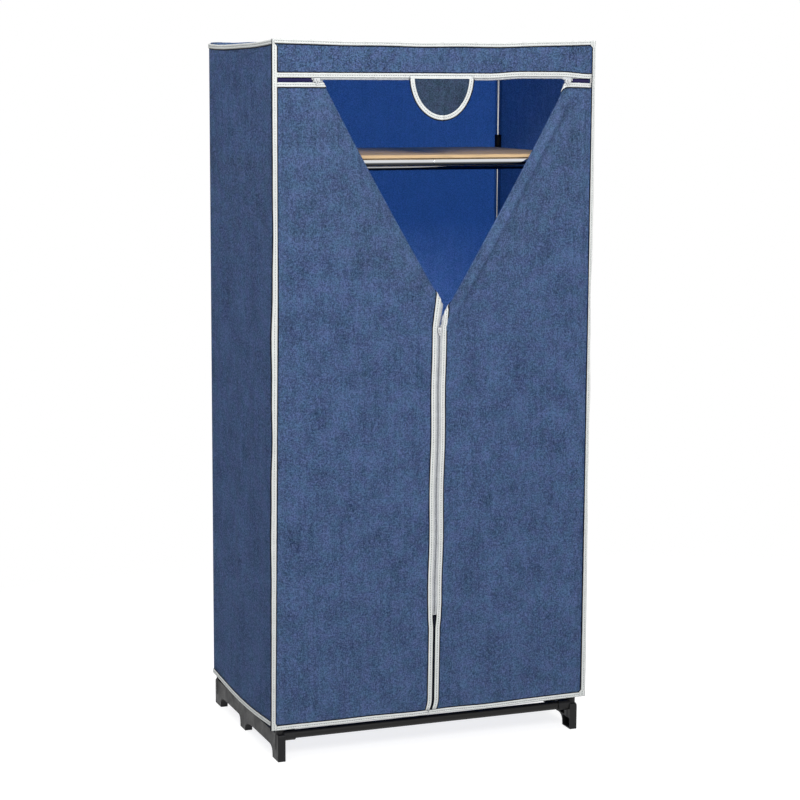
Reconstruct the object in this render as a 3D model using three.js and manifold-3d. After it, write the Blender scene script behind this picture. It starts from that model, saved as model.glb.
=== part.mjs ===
import * as THREE from 'three';
import Module from 'manifold-3d';
import { mergeVertices } from 'three/addons/utils/BufferGeometryUtils.js';

// A portable fabric wardrobe: thin chromed tubes pushed into moulded joints, on two
// moulded base ends, under a sewn cover with a zipped front whose two flaps are folded
// back. Millimetres, +Z up, the front towards -Y, and the origin on the floor under the
// middle of the cover.

// Overall sizes, over the edge bindings
const width = 750;
const depth = 510;
const height = 1600;
const hemHeight = 75;
const sideHemDroop = 11;

// Fits
const seatGap = 0.3;
const cutOverrun = 5;

// Tubes of the frame
const tubeRadius = 8;
const tubeWall = 0.8;
const barRadius = 10;
const tubeSides = 12;
const swageStep = 1;
const swageLength = 22;

// Moulded joints
const collarWall = 2.2;
const collarReach = 36;
const beadRise = 0.9;
const beadLength = 4;
const stopWeb = 3;
const shelfHeightShare = 0.83375;

// Shelf board and hanging rail
const boardThickness = 7;
const boardFrontReach = 7;
const boardSideGap = 2;
const boardEdge = 0.8;
const railDrop = 21;
const bracketLength = 24;
const railSeat = 20;
const bracketWeb = 4;
const clipGrip = 3;

// Base ends
const endThickness = 18;
const endInset = 5;
const railFoot = 26;
const railTop = 62;
const barHeight = 57;
const barCollarWall = 3;
const barCollarLength = 26;
const barSeat = 20;
const postSocketTop = 100;
const postSocketFloor = 66;
const mouldWall = 3;
const mouldEdge = 0.8;
const railPockets = 7;
const endCorner = 8;
const footCheek = 5;
const frontFoot = { width: 42, gusset: 23 };
const middleFoot = { centre: 22, width: 38, frontGusset: 60, backGusset: 14 };
const backFoot = { width: 45, gusset: 28 };

// Cloth and its edge bindings
const cloth = 1;
const bindingWidth = 10;
const pipingThickness = 2.4;
const pipingRise = 3;
const tapeThickness = 0.6;
const bindingThickness = 1.2;
const topSag = 6;
const panelHollow = 4;
const panelRipples = 3;
const doorWave = 1.6;

// Door: the header above, the zip line, and the two flaps that are folded back
const headerDrop = 82.5;
const zipOpening = 10;
const slitFootX = 1.5;
const junctionX = 11;
const junctionHeightShare = 0.604375;
const zipFootShare = 0.1925;
const foldRadius = 2.5;
const foldClearance = 1.6;
const foldSteps = 4;
const edgeLeanShare = 0.17;
const flapSizes = {
  left: { side: -1, foldTopInset: 103, apexX: 1, apexHeightShare: 0.6525 },
  right: { side: 1, foldTopInset: 57, apexX: 24, apexHeightShare: 0.625 },
};

// Zips
const coilGap = 1.6;
const coilWidth = 2.2;
const coilThickness = 2.2;
const tapeWidth = 12;
const clothToZip = 7.5;
const bindingToZip = 6.3;
const topTapeLap = 7;
const topZipInset = { left: 85, right: 46 };

// Sliders and their pull tabs
const sliderPark = 12;
const sliderWall = 1.3;
const sliderLength = 13;
const bridgeWall = 0.8;
const bridgeWidth = 2.4;
const bridgeLength = 4.8;
const tabThickness = 0.8;
const tabLength = 12;
const tabWidth = 7;
const tabHoleRadius = 1.5;
const tabArm = 1.3;

// Half-round cloth flap over the point where the zips meet
const pullCoverX = 10;
const pullCoverWidth = 150;
const pullCoverDrop = 95;
const pullCoverLap = 4;
const pullCoverLip = 5;

// Where the pieces meet, worked out from the sizes above
const faceX = width / 2 - pipingThickness - seatGap;
const faceY = depth / 2 - pipingThickness - seatGap;
const topFace = height - pipingRise;
const topInner = topFace - cloth;
const collarRadius = tubeRadius + seatGap + collarWall;
const shelfTubeHeight = height * shelfHeightShare;
const headerFoot = height - headerDrop;
const flapTop = headerFoot - zipOpening;
const zipLineZ = (headerFoot + flapTop) / 2;
const junctionHeight = height * junctionHeightShare;
const zipFoot = height * zipFootShare;
const topZipLeft = topZipInset.left - width / 2;
const topZipRight = width / 2 - topZipInset.right;
const tapeRise = seatGap;
const bindingRise = tapeRise + tapeThickness + seatGap;
const coilLow = tapeRise + (tapeThickness - coilThickness) / 2;
const coilHigh = coilLow + coilThickness;
const sliderFace = coilHigh + seatGap + sliderWall;
const tabAxisRise = sliderFace + tabThickness;
const bridgeTop = tabAxisRise + tabThickness + bridgeWall;
const foldStack = 2 * foldRadius + bindingRise + bindingThickness + foldClearance;
const postX = faceX - cloth - seatGap - collarRadius;
const postY = faceY - foldStack - collarRadius;
const topTubeHeight = topInner - seatGap - collarRadius;
const railHeight = shelfTubeHeight - railDrop;
const tubeStart = collarRadius + seatGap;
const foldReach = postX + tubeRadius / 2;
const sideY = faceY - cloth - seatGap;
const wallTop = topInner - seatGap;
const hemTop = hemHeight + bindingWidth;

// Finishes
const chrome = { color: 0xd8dade, roughness: 0.18, metalness: 1 };
const blackPlastic = { color: 0x17181a, roughness: 0.45, metalness: 0 };
const blueCloth = { color: 0x4a5d84, roughness: 0.9, metalness: 0 };
const whiteBinding = { color: 0xe9ebf0, roughness: 0.8, metalness: 0 };
const whitePaint = { color: 0xf1f2f4, roughness: 0.35, metalness: 0.2 };
const tanBoard = { color: 0xdcb98a, roughness: 0.7, metalness: 0 };

const manifold = await Module();
manifold.setup();

const wardrobe = new THREE.Group();

function piece(name, geometry, finish, parent = wardrobe) {
  const mesh = new THREE.Mesh(geometry, new THREE.MeshStandardMaterial(finish));
  mesh.name = name;
  parent.add(mesh);
  return mesh;
}

// A closed geometry as a solid that can be joined and cut
function solid(geometry) {
  const bare = geometry.clone();
  bare.deleteAttribute('normal');
  bare.deleteAttribute('uv');
  const welded = mergeVertices(bare);
  return new manifold.Manifold(new manifold.Mesh({
    numProp: 3,
    vertProperties: new Float32Array(welded.attributes.position.array),
    triVerts: new Uint32Array(welded.index.array),
  }));
}

// A joined and cut solid back as a geometry
function shell(body) {
  const mesh = body.getMesh();
  const geometry = new THREE.BufferGeometry();
  geometry.setAttribute('position', new THREE.BufferAttribute(mesh.vertProperties, 3));
  geometry.setIndex(new THREE.BufferAttribute(mesh.triVerts, 1));
  geometry.computeVertexNormals();
  return geometry;
}

// A geometry built along Z, turned so that it runs along X or Y
const alongX = new THREE.Matrix4().makeBasis(
  new THREE.Vector3(0, 1, 0), new THREE.Vector3(0, 0, 1), new THREE.Vector3(1, 0, 0));
const alongY = new THREE.Matrix4().makeBasis(
  new THREE.Vector3(0, 0, 1), new THREE.Vector3(1, 0, 0), new THREE.Vector3(0, 1, 0));
const alongZ = new THREE.Matrix4();

function rod(radius, from, to, axis, centre) {
  const geometry = new THREE.CylinderGeometry(radius, radius, to - from, tubeSides);
  geometry.rotateX(Math.PI / 2);
  geometry.translate(0, 0, (from + to) / 2);
  geometry.applyMatrix4(axis);
  geometry.translate(...centre);
  return geometry;
}

function block(low, high) {
  const geometry = new THREE.BoxGeometry(high[0] - low[0], high[1] - low[1], high[2] - low[2]);
  geometry.translate((low[0] + high[0]) / 2, (low[1] + high[1]) / 2, (low[2] + high[2]) / 2);
  return geometry;
}

function joined(parts) {
  return parts.map(solid).reduce((all, part) => all.add(part));
}

function cut(body, tools) {
  return tools.map(solid).reduce((rest, tool) => rest.subtract(tool), body);
}

// An open-ended tube, lathed from its wall's section. A swaged end is drawn in to fit
// inside the next tube.
function tube(radius, from, to, axis, centre, swaged = false) {
  const inner = radius - tubeWall;
  const outline = [[inner, from], [radius, from], [radius, to], [inner, to]];
  if (swaged) {
    const drawn = inner - seatGap;
    outline.splice(0, 2,
      [drawn - tubeWall, from - swageLength],
      [drawn, from - swageLength],
      [drawn, from],
      [radius, from + swageStep]);
    outline.push([inner, from + 2 * swageStep], [drawn - tubeWall, from + swageStep]);
  }
  outline.push(outline[0]);
  const points = outline.map(([r, z]) => new THREE.Vector2(r, z));
  const geometry = new THREE.LatheGeometry(points, tubeSides);
  geometry.rotateX(Math.PI / 2);
  geometry.applyMatrix4(axis);
  geometry.translate(...centre);
  return geometry;
}

// The frame's corners: -1 and 1 along X and Y
const sides = { left: -1, right: 1 };
const ends = { front: -1, back: 1 };

// Base ends: a rail on three feet with curved gussets, hollowed from the inner side into
// pockets, with a socket for each post and a collar for each base bar
function baseEnd(side) {
  const reach = depth / 2 - endInset;
  const outline = new THREE.Shape();
  outline.moveTo(-reach, 0);
  outline.lineTo(-reach + frontFoot.width, 0);
  gussetUp(outline, -reach + frontFoot.width, frontFoot.gusset);
  gussetDown(outline, middleFoot.centre - middleFoot.width / 2, middleFoot.frontGusset);
  outline.lineTo(middleFoot.centre + middleFoot.width / 2, 0);
  gussetUp(outline, middleFoot.centre + middleFoot.width / 2, middleFoot.backGusset);
  gussetDown(outline, reach - backFoot.width, backFoot.gusset);
  outline.lineTo(reach, 0);
  outline.lineTo(reach, railTop - endCorner);
  outline.quadraticCurveTo(reach, railTop, reach - endCorner, railTop);
  outline.lineTo(-reach + endCorner, railTop);
  outline.quadraticCurveTo(-reach, railTop, -reach, railTop - endCorner);
  outline.closePath();

  const plate = new THREE.ExtrudeGeometry(outline, {
    depth: endThickness - 2 * mouldEdge,
    curveSegments: 4,
    bevelThickness: mouldEdge,
    bevelSize: mouldEdge,
    bevelOffset: -mouldEdge,
    bevelSegments: 1,
  });
  plate.applyMatrix4(alongX);
  plate.translate(side * postX - endThickness / 2 + mouldEdge, 0, 0);

  const innerFace = side * (postX - endThickness / 2);
  const pocketFloor = innerFace + side * (endThickness - mouldWall);
  const pocketMouth = innerFace - side * cutOverrun;
  const pocket = (y0, y1, z0, z1) => block(
    [Math.min(pocketFloor, pocketMouth), y0, z0],
    [Math.max(pocketFloor, pocketMouth), y1, z1]);

  const railReach = postY - collarRadius - mouldWall;
  const pitch = 2 * railReach / railPockets;
  const pockets = [
    pocket(-reach + mouldWall, -reach + frontFoot.width - mouldWall, mouldWall, railFoot),
    pocket(reach - backFoot.width + mouldWall, reach - mouldWall, mouldWall, railFoot),
    pocket(
      middleFoot.centre - middleFoot.width / 2 + mouldWall,
      middleFoot.centre + middleFoot.width / 2 - mouldWall, mouldWall, railFoot),
  ];
  for (let i = 0; i < railPockets; i += 1) {
    const start = -railReach + i * pitch;
    pockets.push(pocket(
      start + mouldWall / 2, start + pitch - mouldWall / 2,
      railFoot + mouldWall, railTop - mouldWall));
  }

  const bosses = [];
  const bores = [];
  for (const end of Object.values(ends)) {
    const socket = [side * postX, end * postY, 0];
    bosses.push(rod(collarRadius, railFoot, postSocketTop, alongZ, socket));
    bores.push(rod(
      tubeRadius + seatGap, postSocketFloor, postSocketTop + cutOverrun, alongZ, socket));
    const collar = [innerFace, end * postY, barHeight];
    const inward = (radius, near, far) => rod(
      radius, Math.min(-side * near, -side * far), Math.max(-side * near, -side * far),
      alongX, collar);
    bosses.push(inward(barRadius + seatGap + barCollarWall, -mouldWall, barCollarLength));
    bores.push(inward(
      barRadius + seatGap, barCollarLength - barSeat - seatGap,
      barCollarLength + cutOverrun));
  }
  const body = cut(solid(plate), pockets);
  return shell(cut(body.add(joined(bosses)), bores));
}

// The rail's underside meets a foot in a hollow curve
function gussetUp(outline, y, length) {
  outline.lineTo(y, footCheek);
  outline.quadraticCurveTo(y, railFoot, y + length, railFoot);
}

function gussetDown(outline, y, length) {
  outline.lineTo(y - length, railFoot);
  outline.quadraticCurveTo(y, railFoot, y, footCheek);
  outline.lineTo(y, 0);
}

// One arm of a joint, with a bead round its mouth
function arm(length, start, axis, direction) {
  const slim = collarRadius - beadRise;
  const points = [
    [0, start], [slim, start], [slim, length - beadLength], [collarRadius, length - beadLength],
    [collarRadius, length], [0, length],
  ].map(([r, z]) => new THREE.Vector2(r, z));
  const geometry = new THREE.LatheGeometry(points, tubeSides);
  geometry.rotateX(direction * Math.PI / 2);
  geometry.applyMatrix4(axis);
  return geometry;
}

function armBore(start, axis, direction) {
  const length = collarReach + cutOverrun;
  const near = Math.min(direction * start, direction * length);
  const far = Math.max(direction * start, direction * length);
  return rod(tubeRadius + seatGap, near, far, axis, [0, 0, 0]);
}

// Arms run along X and Y towards the middle of the frame, and up or down. A joint that
// carries a post above it has a web between the two posts.
function frameJoint(side, end, hasUpperPost) {
  const arms = [
    arm(collarReach, 0, alongX, -side),
    arm(collarReach, 0, alongY, -end),
    arm(collarReach, -collarRadius, alongZ, -1),
  ];
  const bores = [
    armBore(tubeStart, alongX, -side),
    armBore(tubeStart, alongY, -end),
    armBore(hasUpperPost ? stopWeb / 2 : tubeStart, alongZ, -1),
  ];
  if (hasUpperPost) {
    arms.push(arm(collarReach, 0, alongZ, 1));
    bores.push(armBore(stopWeb / 2, alongZ, 1));
  }
  return shell(cut(joined(arms), bores));
}

function shelfBoard() {
  const reachX = postX - collarRadius - boardSideGap;
  const reachY = postY + boardFrontReach;
  const notchX = postX - collarReach - boardSideGap;
  const notchY = postY - collarRadius - boardSideGap;
  const corner = [[notchX, reachY], [notchX, notchY], [reachX, notchY]];
  const turns = [[1, 1], [1, -1], [-1, -1], [-1, 1]];
  const points = turns.flatMap(([x, y], turn) => {
    const run = turn % 2 === 0 ? corner : [...corner].reverse();
    return run.map(([cornerX, cornerY]) => new THREE.Vector2(x * cornerX, y * cornerY));
  });
  const board = new THREE.ExtrudeGeometry(new THREE.Shape(points), {
    depth: boardThickness - 2 * boardEdge,
    bevelThickness: boardEdge,
    bevelSize: boardEdge,
    bevelOffset: -boardEdge,
    bevelSegments: 1,
  });
  board.translate(0, 0, shelfTubeHeight + tubeRadius + seatGap + boardEdge);
  return board;
}

// A clip over the side shelf tube, with a cup below it that holds the rail's end
function railBracket(side) {
  const cupEnd = postX - collarRadius + bracketWeb;
  const cupMouth = cupEnd - mouldWall - railSeat;
  const clip = rod(
    collarRadius, -bracketLength / 2, bracketLength / 2, alongY,
    [side * postX, 0, shelfTubeHeight]);
  const along = (radius, near, far) => rod(
    radius, Math.min(side * near, side * far), Math.max(side * near, side * far),
    alongX, [0, 0, railHeight]);
  const cup = along(collarRadius, cupMouth, cupEnd);
  const webX = [side * (cupEnd - 2 * bracketWeb), side * cupEnd].sort((a, b) => a - b);
  const web = block(
    [webX[0], -bracketLength / 2, railHeight], [webX[1], bracketLength / 2, shelfTubeHeight]);
  const openX = [side * postX, side * (postX + 2 * collarRadius)].sort((a, b) => a - b);
  const mouth = block(
    [openX[0], -bracketLength, shelfTubeHeight - 2 * collarRadius],
    [openX[1], bracketLength, shelfTubeHeight - clipGrip]);
  return shell(cut(joined([clip, cup, web]), [
    rod(tubeRadius + seatGap, -bracketLength, bracketLength, alongY,
      [side * postX, 0, shelfTubeHeight]),
    along(tubeRadius + seatGap, cupMouth - cutOverrun, cupEnd - mouldWall),
    mouth,
  ]));
}

for (const [sideName, side] of Object.entries(sides)) {
  piece(`base_end_${sideName}`, baseEnd(side), blackPlastic);
}

const barReach = postX - endThickness / 2 - barCollarLength + barSeat;
const tubeReachX = postX - tubeStart - seatGap;
const tubeReachY = postY - tubeStart - seatGap;
for (const [endName, end] of Object.entries(ends)) {
  piece(`base_bar_${endName}`,
    tube(barRadius, -barReach, barReach, alongX, [0, end * postY, barHeight]), blackPlastic);
  piece(`top_tube_${endName}`,
    tube(tubeRadius, -tubeReachX, tubeReachX, alongX, [0, end * postY, topTubeHeight]), chrome);
}
for (const [sideName, side] of Object.entries(sides)) {
  for (const [place, z] of [['shelf', shelfTubeHeight], ['top', topTubeHeight]]) {
    piece(`${place}_tube_${sideName}`,
      tube(tubeRadius, -tubeReachY, tubeReachY, alongY, [side * postX, 0, z]), chrome);
  }
  for (const [endName, end] of Object.entries(ends)) {
    const foot = [side * postX, end * postY, 0];
    piece(`post_lower_${endName}_${sideName}`,
      tube(tubeRadius, postSocketFloor + seatGap, shelfTubeHeight - stopWeb / 2 - seatGap,
        alongZ, foot), chrome);
    piece(`post_upper_${endName}_${sideName}`,
      tube(tubeRadius, shelfTubeHeight + stopWeb / 2 + seatGap,
        topTubeHeight - tubeStart - seatGap, alongZ, foot), chrome);
    const levels = [['shelf', shelfTubeHeight, true], ['top', topTubeHeight, false]];
    for (const [place, z, hasUpperPost] of levels) {
      const joint = piece(`${place}_joint_${endName}_${sideName}`,
        frameJoint(side, end, hasUpperPost), blackPlastic);
      joint.position.set(side * postX, end * postY, z);
    }
  }
}

// The front shelf tube comes apart in the middle, where one half is drawn in to plug
// into the other
piece('shelf_tube_front_left',
  tube(tubeRadius, -tubeReachX, 0, alongX, [0, -postY, shelfTubeHeight]), chrome);
piece('shelf_tube_front_right',
  tube(tubeRadius, seatGap, tubeReachX, alongX, [0, -postY, shelfTubeHeight], true), chrome);
piece('shelf_tube_back',
  tube(tubeRadius, -tubeReachX, tubeReachX, alongX, [0, postY, shelfTubeHeight]), chrome);
piece('shelf_board', shelfBoard(), tanBoard);

const railReachX = postX - collarRadius + bracketWeb - mouldWall - seatGap;
piece('hanging_rail',
  tube(tubeRadius, -railReachX, railReachX, alongX, [0, 0, railHeight]), chrome);
for (const [sideName, side] of Object.entries(sides)) {
  piece(`rail_bracket_${sideName}`, railBracket(side), blackPlastic);
}

// Cloth is a sheet: rows of points, each with a front and a back. Where points of a row
// fall together, the faces between them are left out.
function sheet(rows, closed = false) {
  const columns = rows[0].length;
  const positions = rows.flat().flatMap(({ front, back }) => [...front, ...back]);
  const index = [];
  const at = (row, column, face) => 2 * ((row % rows.length) * columns + column) + face;
  const quad = (a, b, c, d) => index.push(a, b, c, a, c, d);
  const lastRow = closed ? rows.length : rows.length - 1;
  const lastColumn = columns - 1;
  for (let i = 0; i < lastRow; i += 1) {
    for (let j = 0; j < lastColumn; j += 1) {
      quad(at(i, j, 0), at(i, j + 1, 0), at(i + 1, j + 1, 0), at(i + 1, j, 0));
      quad(at(i, j, 1), at(i + 1, j, 1), at(i + 1, j + 1, 1), at(i, j + 1, 1));
    }
    quad(at(i, 0, 0), at(i + 1, 0, 0), at(i + 1, 0, 1), at(i, 0, 1));
    quad(at(i, lastColumn, 0), at(i, lastColumn, 1),
      at(i + 1, lastColumn, 1), at(i + 1, lastColumn, 0));
  }
  if (!closed) {
    for (let j = 0; j < lastColumn; j += 1) {
      quad(at(0, j, 0), at(0, j, 1), at(0, j + 1, 1), at(0, j + 1, 0));
      quad(at(lastRow, j, 0), at(lastRow, j + 1, 0), at(lastRow, j + 1, 1), at(lastRow, j, 1));
    }
  }
  const grid = new THREE.BufferGeometry();
  grid.setAttribute('position', new THREE.Float32BufferAttribute(positions, 3));
  grid.setIndex(index);
  return facingOut(mergeVertices(grid));
}

// Leaves out triangles that have shrunk to a line, and turns an inside-out sheet round
function facingOut(geometry) {
  const position = geometry.attributes.position;
  const corner = (i) => new THREE.Vector3().fromBufferAttribute(position, i);
  const kept = [];
  let volume = 0;
  const index = geometry.index.array;
  for (let i = 0; i < index.length; i += 3) {
    const [a, b, c] = [index[i], index[i + 1], index[i + 2]];
    if (a !== b && b !== c && c !== a) {
      kept.push([a, b, c]);
      volume += corner(a).dot(corner(b).cross(corner(c)));
    }
  }
  geometry.setIndex(kept.flatMap(([a, b, c]) => (volume > 0 ? [a, b, c] : [a, c, b])));
  geometry.computeVertexNormals();
  return geometry;
}

const mix = THREE.MathUtils.lerp;
const steps = (count) => Array.from({ length: count + 1 }, (_, i) => i / count);
const swell = (share) => Math.sin(Math.PI * THREE.MathUtils.clamp(share, 0, 1)) ** 2;

// The hem hangs lower in the middle of the sides and the back
const hemAt = (share) => hemHeight - sideHemDroop * Math.sin(Math.PI * share);

// A wall of the cover between two corners in plan, drawn in between the hem and the shelf
// and between the shelf and the top, with soft upright folds
function wall(from, to, inward, ripples) {
  const heights = (foot) => [
    ...steps(8).map((share) => [mix(foot, shelfTubeHeight, share), share]),
    ...steps(3).slice(1).map((share) => [mix(shelfTubeHeight, wallTop, share), share]),
  ];
  const across = steps(12);
  const columns = across.map((share) => heights(hemAt(share)).map(([z, rise]) => {
    const ripple = (2 + Math.cos(2 * Math.PI * ripples * share)) / 3;
    const hollow = panelHollow * swell(share) * swell(rise) * ripple;
    const at = (depthIn) => [
      mix(from[0], to[0], share) + inward[0] * depthIn,
      mix(from[1], to[1], share) + inward[1] * depthIn,
      z,
    ];
    return { front: at(hollow), back: at(hollow + cloth) };
  }));
  return sheet(columns);
}

function coverTop() {
  return sheet(steps(6).map((v) => steps(8).map((u) => {
    const sag = topSag * Math.sin(Math.PI * u) * Math.sin(Math.PI * v);
    const at = (z) => [mix(-faceX, faceX, u), mix(-faceY, faceY, v), z - sag];
    return { front: at(topFace), back: at(topInner) };
  })));
}

// The binding round the top edge stands up past the cloth, with rounded corners outside
function topPiping() {
  const inX = width / 2 - pipingThickness;
  const inY = depth / 2 - pipingThickness;
  const corners = [[1, 1], [-1, 1], [-1, -1], [1, -1]];
  const stations = corners.flatMap(([sideX, sideY], corner) => steps(3).map((share) => {
    const angle = (corner + share) * Math.PI / 2;
    const x = sideX * inX;
    const y = sideY * inY;
    const outX = x + pipingThickness * Math.cos(angle);
    const outY = y + pipingThickness * Math.sin(angle);
    return [height - bindingWidth, height].map((z) => ({
      front: [outX, outY, z],
      back: [x, y, z],
    }));
  }));
  return sheet(stations, true);
}

// The hem's binding runs from one side of the door's slit round to the other
function hemBinding() {
  const x = width / 2;
  const y = depth / 2;
  const slit = [slitFootX - coilGap / 2, slitFootX + coilGap / 2];
  const stations = [[slit[0], -y, 0, -1, hemHeight]];
  const corners = [[-x, -y], [-x, y], [x, y], [x, -y]];
  corners.forEach(([cornerX, cornerY], i) => {
    stations.push([cornerX, cornerY, Math.sign(cornerX), Math.sign(cornerY), hemHeight]);
    const next = corners[i + 1];
    if (next) {
      const outX = cornerX === next[0] ? Math.sign(cornerX) : 0;
      const outY = cornerY === next[1] ? Math.sign(cornerY) : 0;
      for (const share of steps(6).slice(1, -1)) {
        stations.push([
          mix(cornerX, next[0], share), mix(cornerY, next[1], share), outX, outY, hemAt(share)]);
      }
    }
  });
  stations.push([slit[1], -y, 0, -1, hemHeight]);
  return sheet(stations.map(([px, py, outX, outY, z]) => [z, z + bindingWidth].map((level) => ({
    front: [px, py, level],
    back: [px - outX * pipingThickness, py - outY * pipingThickness, level],
  }))));
}

// A strip of binding that lies flat on the front, between two heights over its face
function frontStrip(fromX, toX, fromZ, toZ, low, high) {
  return block([fromX, -faceY - high, fromZ], [toX, -faceY - low, toZ]);
}

// A flap's plan, seen from the front with w running outwards from the middle. The fold
// runs from the flap's top edge down to the zip line, and q is the distance past it. The
// cloth past the fold is turned round the fold's radius and lies behind the flap.
function flapPlan({ side, foldTopInset, apexX, apexHeightShare }) {
  const foldTop = width / 2 - foldTopInset;
  const apexHeight = height * apexHeightShare;
  const apex = side * apexX;
  const run = new THREE.Vector2(apex - foldTop, apexHeight - flapTop).normalize();
  const across = new THREE.Vector2(run.y, -run.x);
  const half = Math.PI * foldRadius;

  const pastFold = (w, z) => (w - foldTop) * across.x + (z - flapTop) * across.y;
  const alongFold = (w, z) => (w - foldTop) * run.x + (z - flapTop) * run.y;
  const wAt = (z, q) => foldTop + (q - (z - flapTop) * across.y) / across.x;

  // The zip line: up to the junction, spread to the fold's foot, then leaning outwards
  const zipLine = (z) => {
    if (z <= junctionHeight) {
      const share = (z - hemHeight) / (junctionHeight - hemHeight);
      return side * mix(slitFootX, junctionX, share);
    }
    if (z <= apexHeight) {
      const share = (z - junctionHeight) / (apexHeight - junctionHeight);
      return mix(side * junctionX, apex, share);
    }
    return apex + edgeLeanShare * (z - apexHeight);
  };
  const foldedW = (w, z) => foldTop + alongFold(w, z) * run.x
    - (pastFold(w, z) - half) * across.x;

  // Above its foot the fold meets a line beside the zip at this height
  const zAt = (offset, q) => {
    const low = pastFold(zipLine(apexHeight) + offset, apexHeight);
    const high = pastFold(zipLine(flapTop) + offset, flapTop);
    return mix(apexHeight, flapTop, (q - low) / (high - low));
  };

  const place = (w, z, rise) => {
    const q = pastFold(w, z);
    const s = alongFold(w, z);
    if (q <= 0) {
      return [side * w, -faceY - rise, z];
    }
    const turn = Math.min(q / foldRadius, Math.PI);
    const reach = (foldRadius + rise) * Math.sin(turn) - Math.max(q - half, 0);
    return [
      side * (foldTop + s * run.x + reach * across.x),
      -faceY + foldRadius - (foldRadius + rise) * Math.cos(turn),
      flapTop + s * run.y + reach * across.y,
    ];
  };
  const atPlace = (w, z, low, high) => ({ front: place(w, z, high), back: place(w, z, low) });
  return { apexHeight, half, pastFold, wAt, zAt, zipLine, foldedW, place, atPlace };
}

// Where a straight line from one value to another crosses the limit
const crossing = (from, to, low, high, limit) => mix(from, to, (limit - low) / (high - low));

// How far past the fold the cloth goes at a height, short of the side of the frame
function foldEnd(plan, z, edgeW) {
  const edge = plan.pastFold(edgeW, z);
  const reachAt = (q) => plan.foldedW(plan.wAt(z, q), z);
  const stop = crossing(0, edge, reachAt(0), reachAt(edge), foldReach);
  return Math.min(edge, stop);
}

function flap(plan) {
  const startZ = plan.zAt(clothToZip, 0);
  const heights = [
    ...steps(9).map((share) => mix(hemHeight, junctionHeight, share)),
    ...steps(2).slice(1).map((share) => mix(junctionHeight, startZ, share)),
    ...steps(9).slice(1).map((share) => mix(startZ, flapTop, share)),
  ];
  const turned = steps(foldSteps).slice(1);
  const backSteps = steps(3).slice(1);
  return sheet(heights.map((z) => {
    const edge = plan.zipLine(z) + clothToZip;
    const end = z > startZ ? foldEnd(plan, z, edge) : 0;
    const inner = z > startZ ? plan.wAt(z, 0) : edge;
    const points = steps(10).map((share) => {
      const w = mix(faceX, inner, share);
      const rise = swell(share) * swell((z - hemHeight) / (plan.apexHeight - hemHeight));
      const wave = doorWave * rise * Math.sin(2 * Math.PI * (share + z / height));
      return plan.atPlace(w, z, wave - cloth, wave);
    });
    const past = [
      ...turned.map((share) => Math.min(share * plan.half, end)),
      ...backSteps.map((share) => mix(Math.min(plan.half, end), end, share)),
    ];
    for (const q of past) {
      const w = z > startZ ? plan.wAt(z, q) : edge;
      points.push(plan.atPlace(w, z, -cloth, 0));
    }
    return points;
  }));
}

// A strip beside the zip line that is folded back with its flap. Each column has its
// distance from the line and the heights of its two faces over the cloth.
function zipStrip(plan, foot, columns) {
  const level = (z) => columns.map(({ offset, low, high }) => (
    plan.atPlace(plan.zipLine(z) + offset, z, low, high)));
  const slanted = (q) => columns.map(({ offset, low, high }) => {
    const z = plan.zAt(offset, q);
    return plan.atPlace(plan.zipLine(z) + offset, z, low, high);
  });
  const near = columns[0].offset;
  const far = columns[columns.length - 1].offset;
  const reachAt = (z) => plan.foldedW(plan.zipLine(z) + near, z);
  const stop = crossing(
    plan.apexHeight, flapTop, reachAt(plan.apexHeight), reachAt(flapTop), foldReach);
  const end = Math.min(stop, flapTop - bindingWidth - seatGap);
  return sheet([
    level(foot),
    level(junctionHeight),
    level(plan.apexHeight),
    ...steps(foldSteps).map((share) => slanted(share * plan.half)),
    level(mix(plan.zAt(far, plan.half), end, 0.5)),
    level(end),
  ]);
}

// The binding along a flap's top edge goes round the fold too
function flapTopBinding(plan) {
  const levels = [flapTop - bindingWidth - seatGap, flapTop - 2 * seatGap];
  const start = width / 2 - bindingWidth - seatGap;
  const low = seatGap;
  const high = seatGap + bindingThickness;
  const end = foldEnd(plan, flapTop, plan.zipLine(flapTop));
  const slanted = (q) => levels.map((z) => plan.atPlace(plan.wAt(z, q), z, low, high));
  return sheet([
    levels.map((z) => plan.atPlace(start, z, low, high)),
    ...steps(foldSteps).map((share) => slanted(share * plan.half)),
    slanted(end),
  ]);
}

// Each half of a zip: the coil along the tape's edge, then the tape
const zipSection = [
  { offset: coilGap / 2, low: coilLow, high: coilHigh },
  { offset: coilGap / 2 + coilWidth, low: coilLow, high: coilHigh },
  { offset: coilGap / 2 + coilWidth + seatGap, low: tapeRise, high: tapeRise + tapeThickness },
  { offset: tapeWidth, low: tapeRise, high: tapeRise + tapeThickness },
];
const bindingSection = [bindingToZip, bindingToZip + bindingWidth].map((offset) => ({
  offset,
  low: bindingRise,
  high: bindingRise + bindingThickness,
}));

function headerZip() {
  const reach = width / 2 - bindingWidth - seatGap;
  const section = [...zipSection.slice(0, -1), {
    ...zipSection[zipSection.length - 1],
    offset: headerFoot + topTapeLap - zipLineZ,
  }];
  return sheet([-reach, topZipLeft, topZipRight, reach].map((x) => (
    section.map(({ offset, low, high }) => ({
      front: [x, -faceY - high, zipLineZ + offset],
      back: [x, -faceY - low, zipLineZ + offset],
    })))));
}

// Shapes drawn across the front: width and height, with the depth towards the front, and
// shapes drawn in side view: height and rise, with the depth along X
const facingFront = new THREE.Matrix4().makeBasis(
  new THREE.Vector3(1, 0, 0), new THREE.Vector3(0, 0, 1), new THREE.Vector3(0, -1, 0));
const sideView = new THREE.Matrix4().makeBasis(
  new THREE.Vector3(0, 0, 1), new THREE.Vector3(0, -1, 0), new THREE.Vector3(1, 0, 0));

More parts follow.
